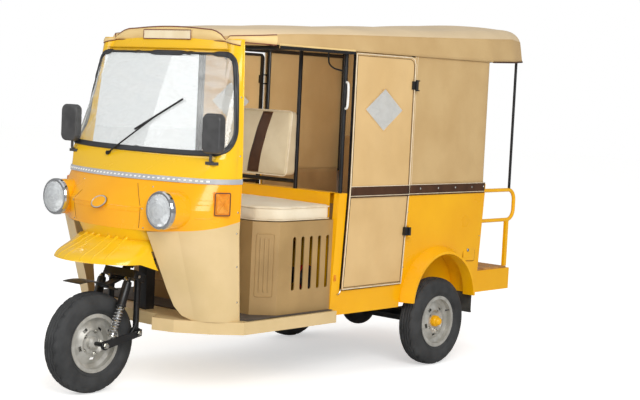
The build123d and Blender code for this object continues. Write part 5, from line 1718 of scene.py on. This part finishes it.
def fork_bolts():
    """Bolts at the links, the wheel spindle and the fork's crown."""
    bolts = []
    for side in (-1, 1):
        bolts.append(hex_bolt(at(side * 128, -1795, 285), (side, 0, 0), 10, 8))
        bolts.append(hex_bolt(at(side * 126, -2000, 243), (side, 0, 0), 12, 10))
        bolts.append(hex_bolt(at(side * 117, -1806, 558), (side, 0, 0)))
        bolts.append(hex_bolt(at(side * 60, -1840, 546), (0, -1, 0.42), 7, 5))
        bolts.append(hex_bolt(at(side * 96, -1862, 543), (0, -1, 0.42), 8, 6))
    piece("fork_bolts", joined(*bolts), "stud_nickel", "steering", "black_paint")


def brake_pipe():
    """Brake pipe clipped down the back of the left fork leg to the drum."""
    bends = [(70, -1830, 566), (98, -1822, 572), (117, -1812, 540), (116, -1812, 470)]
    bends += [(115, -1811, 400), (114, -1812, 330), (104, -1850, 276), (72, -1930, 262)]
    pipe = [at(*p) for p in bends]
    clips = [rounded_block((9, 12, 8), Matrix.Translation(at(114, -1809, z)), 1) for z in (500, 430, 350)]
    route = joined(cord_round(smooth_path(pipe, 6), 3.0, 7), *clips)
    piece("brake_pipe", route, "seal_rubber", "steering", "black_paint")


# ---- rear body and deck ----
TAIL_Z = 430  # middle of the tail lamps and the plate
SIDE_OUT = Vector((1, 0, 0.047)).normalized()  # outwards from the leaning left side


def on_side(y, z, lift=0.2):
    """Place on the left side of the rear body, facing out."""
    return pointing(at(body_x(z) + lift, y, z), SIDE_OUT)


def fuel_flap():
    """Fuel flap in its joint, with a round lock."""
    y, z = 316, 606
    corners = round_corners([(-56, -42), (50, -46), (58, 42), (-52, 40)], 10, 4)
    flap = plate(corners, 2.4, on_side(y, z), 0.8)
    gap = [on_side(y, z, 0.4) @ Vector((u / 1000 * 1.05, v / 1000 * 1.06, 0)) for u, v in corners]
    piece("fuel_flap", flap, "yellow_enamel", slot="yellow_paint")
    piece("fuel_flap_joint", cord_round(gap, 1.0, 5, closed=True), "panel_gap", slot="yellow_paint")
    lock = lathed([(0, 6), (7, 5.6), (9, 4), (10, 0)], on_side(y - 15, z + 16, 1.5), 20)
    piece("fuel_lock", lock, "stud_nickel", slot="chrome")


def reflectors():
    """White reflectors behind the doors and amber ones on the front posts."""
    white = plate(oval(26, 12), 4, on_side(-218, 487), 1.4)
    piece("side_reflectors", both_sides(white), "white_plastic", slot="chrome")
    amber = plate(rounded_rectangle(8, 16, 3, 3), 4, on_side(-850, 538), 1)
    piece("post_reflectors", both_sides(amber), "amber_lens", slot="amber_lens")


def door_hooks():
    """Bent wire hooks at the foot of the door openings."""
    hook = [at(*p) for p in ((531, -822, 452), (541, -822, 454), (545, -815, 466), (541, -808, 478))]
    piece("door_hooks", both_sides(cord_round(smooth_path(hook, 5), 3.2, 8)), "stud_nickel", slot="chrome")


def arch_lips():
    """Rolled edges of the flared rear wheel arches."""
    arch_x, arch_y, arch_z, radius = 598.4, 20, 345, 279
    lip = []
    for k in range(49):
        angle = radians(6 + 168 * k / 48)
        lip.append(at(arch_x, arch_y - radius * cos(angle), arch_z + radius * sin(angle)))
    piece("arch_lips", both_sides(cord_round(lip, 3.2, 7)), "yellow_enamel", slot="yellow_paint")


def side_screws():
    """Screws down the front and rear edges of the rear body sides."""
    spots = ((-286, 392), (-286, 560), (-286, 860), (404, 392), (404, 700))
    bolts = [at(body_x(z) + 0.3, y, z) for y, z in spots]
    heads = screw_heads(bolts, [SIDE_OUT] * len(bolts), 4)
    piece("side_screws", both_sides(heads), "stud_nickel", slot="chrome")


def side_linings():
    """Boards covered in tan leathercloth inside the lower body sides."""
    foot, top, front, rear = 640, 1012, -290, 400
    rows = []
    for i in range(15):
        z = foot + (top - foot) * i / 14
        row = []
        for k in range(25):
            y = front + (rear - front) * k / 24
            quilt = 2.5 * noise.noise(Vector((y / 90, z / 70, 0)))
            row.append(at(body_x(min(z, BELT_Z)) - 9 + quilt, y, z))
        rows.append(row)
    lining = piece("side_linings", both_sides(grid(rows)), "tan_leathercloth", slot="beige_vinyl")
    thicken(lining, 3.0)


def deck_screws():
    """Rows of screws through the deck boards."""
    places = [at(x, 449 + 61 * i, DECK_TOP) for i in range(5) for x in (-470, -160, 160, 470)]
    screws = screw_heads(places, [(0, 0, 1)] * len(places), 5)
    piece("deck_screws", screws, "stud_nickel", slot="brown_boards")


def tail_lamps():
    """Red lamps with chromed rims on the deck's rear edge."""
    half_u, half_v = 52, 28
    lenses, rims = [], []
    for x in (-430, 430):
        place = pointing(at(x, DECK_REAR_Y, TAIL_Z), (0, 1, 0))
        lenses.append(plate(rounded_rectangle(half_u, half_v, 10, 4), 22, place, 5))
        rim = on_plane(place, rounded_rectangle(half_u + 3, half_v + 3, 12, 4), 3)
        rims.append(cord_round(rim, 3, 6, closed=True))
    piece("tail_lamps", joined(*lenses), "red_lens", slot="amber_lens")
    piece("tail_lamp_rims", joined(*rims), "chrome", slot="chrome")


def bare_plate():
    """Bare plate between the tail lamps."""
    face = pointing(at(0, DECK_REAR_Y + 0.2, TAIL_Z), (0, 1, 0))
    sheet = plate(rounded_rectangle(150, 52, 8, 3), 2, face, 0.6)
    piece("bare_plate", sheet, "white_plastic", slot="chrome")


def mudflap_teeth():
    """Notched lower edges of the mudflaps."""
    inner_x, width = 442, 118
    flaps = []
    for side in (-1, 1):
        edge = [at(side * (inner_x + width * i / 24), 338, 266 + (7 if i % 2 else 0)) for i in range(25)]
        flaps.append(cord_round(edge, 3.0, 5))
    piece("flap_teeth", joined(*flaps), "flap_rubber", slot="black_rubber")


# ---- stage ----
GLOSS_DIM = 0.16  # light taken from the world for gloss, so that enamel keeps its depth
WORLD_LIGHT = 0.52
FLOOR_LIFT = 0.5  # light added to the floor for the camera, so that it reads as white


def white_floor():
    """White floor that keeps the shadow and reads as plain white to the camera and through glass."""
    material, output = blank("studio_floor")
    grain = add(material, "TexNoise", {"Scale": 40.0, "Detail": 2.0})
    rough = add(material, "MapRange", {0: grain.outputs["Fac"], 3: 0.85, 4: 0.95})
    path = add(material, "LightPath")
    shade = add(material, "Mix", {"Factor": path.outputs["Is Glossy Ray"]}, data_type="RGBA")
    shade.inputs[6].default_value, shade.inputs[7].default_value = linear("#FDFDFC"), linear("#BDBDBC")
    paint = {"Base Color": shade.outputs[2], "Roughness": rough.outputs[0]}
    shader = add(material, "BsdfPrincipled", paint)
    lift = add(material, "Emission", {"Color": (1, 1, 1, 1), "Strength": FLOOR_LIFT})
    sight = add(
        material,
        "Math",
        {0: path.outputs["Is Camera Ray"], 1: path.outputs["Is Transmission Ray"]},
        operation="MAXIMUM",
    )
    seen = add(material, "MixShader", {0: sight.outputs[0], 2: lift.outputs[0]})
    both = add(material, "AddShader", {0: shader.outputs[0], 1: seen.outputs[0]})
    material.node_tree.links.new(both.outputs[0], output.inputs["Surface"])
    size = 30
    mesh = bpy.data.meshes.new("studio_floor")
    corners = [(-size, -size, 0), (size, -size, 0), (size, size, 0), (-size, size, 0)]
    mesh.from_pydata(corners, [], [(0, 1, 2, 3)])
    mesh.materials.append(material)
    floor = bpy.data.objects.new("studio_floor", mesh)
    bpy.context.scene.collection.objects.link(floor)


def white_world():
    """Plain white to the camera and through glass, softer as a light."""
    world = bpy.data.worlds.new("studio")
    bpy.context.scene.world = world
    world.use_nodes = True
    world.node_tree.nodes.clear()
    path = add(world, "LightPath")
    sight = add(
        world,
        "Math",
        {0: path.outputs["Is Camera Ray"], 1: path.outputs["Is Transmission Ray"]},
        operation="MAXIMUM",
    )
    strength = add(world, "MapRange", {0: sight.outputs[0], 3: WORLD_LIGHT, 4: 1.0})
    dimmed = add(
        world,
        "Math",
        {0: path.outputs["Is Glossy Ray"], 1: -GLOSS_DIM, 2: strength.outputs[0]},
        operation="MULTIPLY_ADD",
    )
    background = add(world, "Background", {"Color": (1, 1, 1, 1), "Strength": dimmed.outputs[0]})
    add(world, "OutputWorld", {"Surface": background.outputs[0]})


def area_light(name, place, aim, size, power):
    """Soft box at a place, aimed at another."""
    lamp = bpy.data.lights.new(name, "AREA")
    lamp.shape = "RECTANGLE"
    lamp.size, lamp.size_y = size
    lamp.energy = power
    light = bpy.data.objects.new(name, lamp)
    bpy.context.scene.collection.objects.link(light)
    light.location = place
    light.visible_camera = False
    light.rotation_euler = (Vector(aim) - Vector(place)).to_track_quat("-Z", "Y").to_euler()


def light_stage():
    """Soft boxes ahead on both sides and overhead, and a small one in the passengers' space."""
    area_light("key_box", place=(5.2, -3.6, 3.9), aim=(0, -0.2, 0.9), size=(4, 3), power=270)
    area_light("nose_box", place=(-3.2, -5.5, 3.2), aim=(0, -0.8, 0.9), size=(3, 2.5), power=60)
    area_light("top_box", place=(0, 0.3, 5.5), aim=(0, 0, 1), size=(5, 5), power=40)
    area_light("cab_box", place=(0.3, 0.3, 1.6), aim=(-0.55, 0.7, 1.15), size=(0.5, 0.4), power=5)


place_camera()
enamels()
coated_cloths()
leathercloths()
plastics_and_rubbers()
metals_and_wood()
lenses_and_glass()
dress_nodes()
roof_cloth()
shoulder_seams()
gutter_covers()
rear_eave_binding()
roof_seams()
front_roll()
front_board()
curtains()
belt()
for side in (-1, 1):
    door_cover(side)
driver_cushion()
driver_backrest()
passenger_seat()
nose_trim()
nose_badge()
cab_edges()
beak_ridges()
screen_seal()
roll_tails()
seat_box_panels()
strip_lamps()
headlamps()
corner_lamps()
mirror_faces()
handlebar_dress()
cab_mat()
grab_handle()
cab_conduit()
cooling_duct()
wheel_dress("front_wheel", outboard=1, cap_finish=None)
wheel_dress("rear_wheel_left", outboard=1, cap_finish="yellow_enamel")
wheel_dress("rear_wheel_right", outboard=-1, cap_finish="yellow_enamel")
spring_units()
fork_bolts()
brake_pipe()
fuel_flap()
reflectors()
door_hooks()
arch_lips()
side_screws()
side_linings()
deck_screws()
tail_lamps()
bare_plate()
mudflap_teeth()
white_floor()
white_world()
light_stage()

bpy.context.scene.view_settings.view_transform = "Standard"
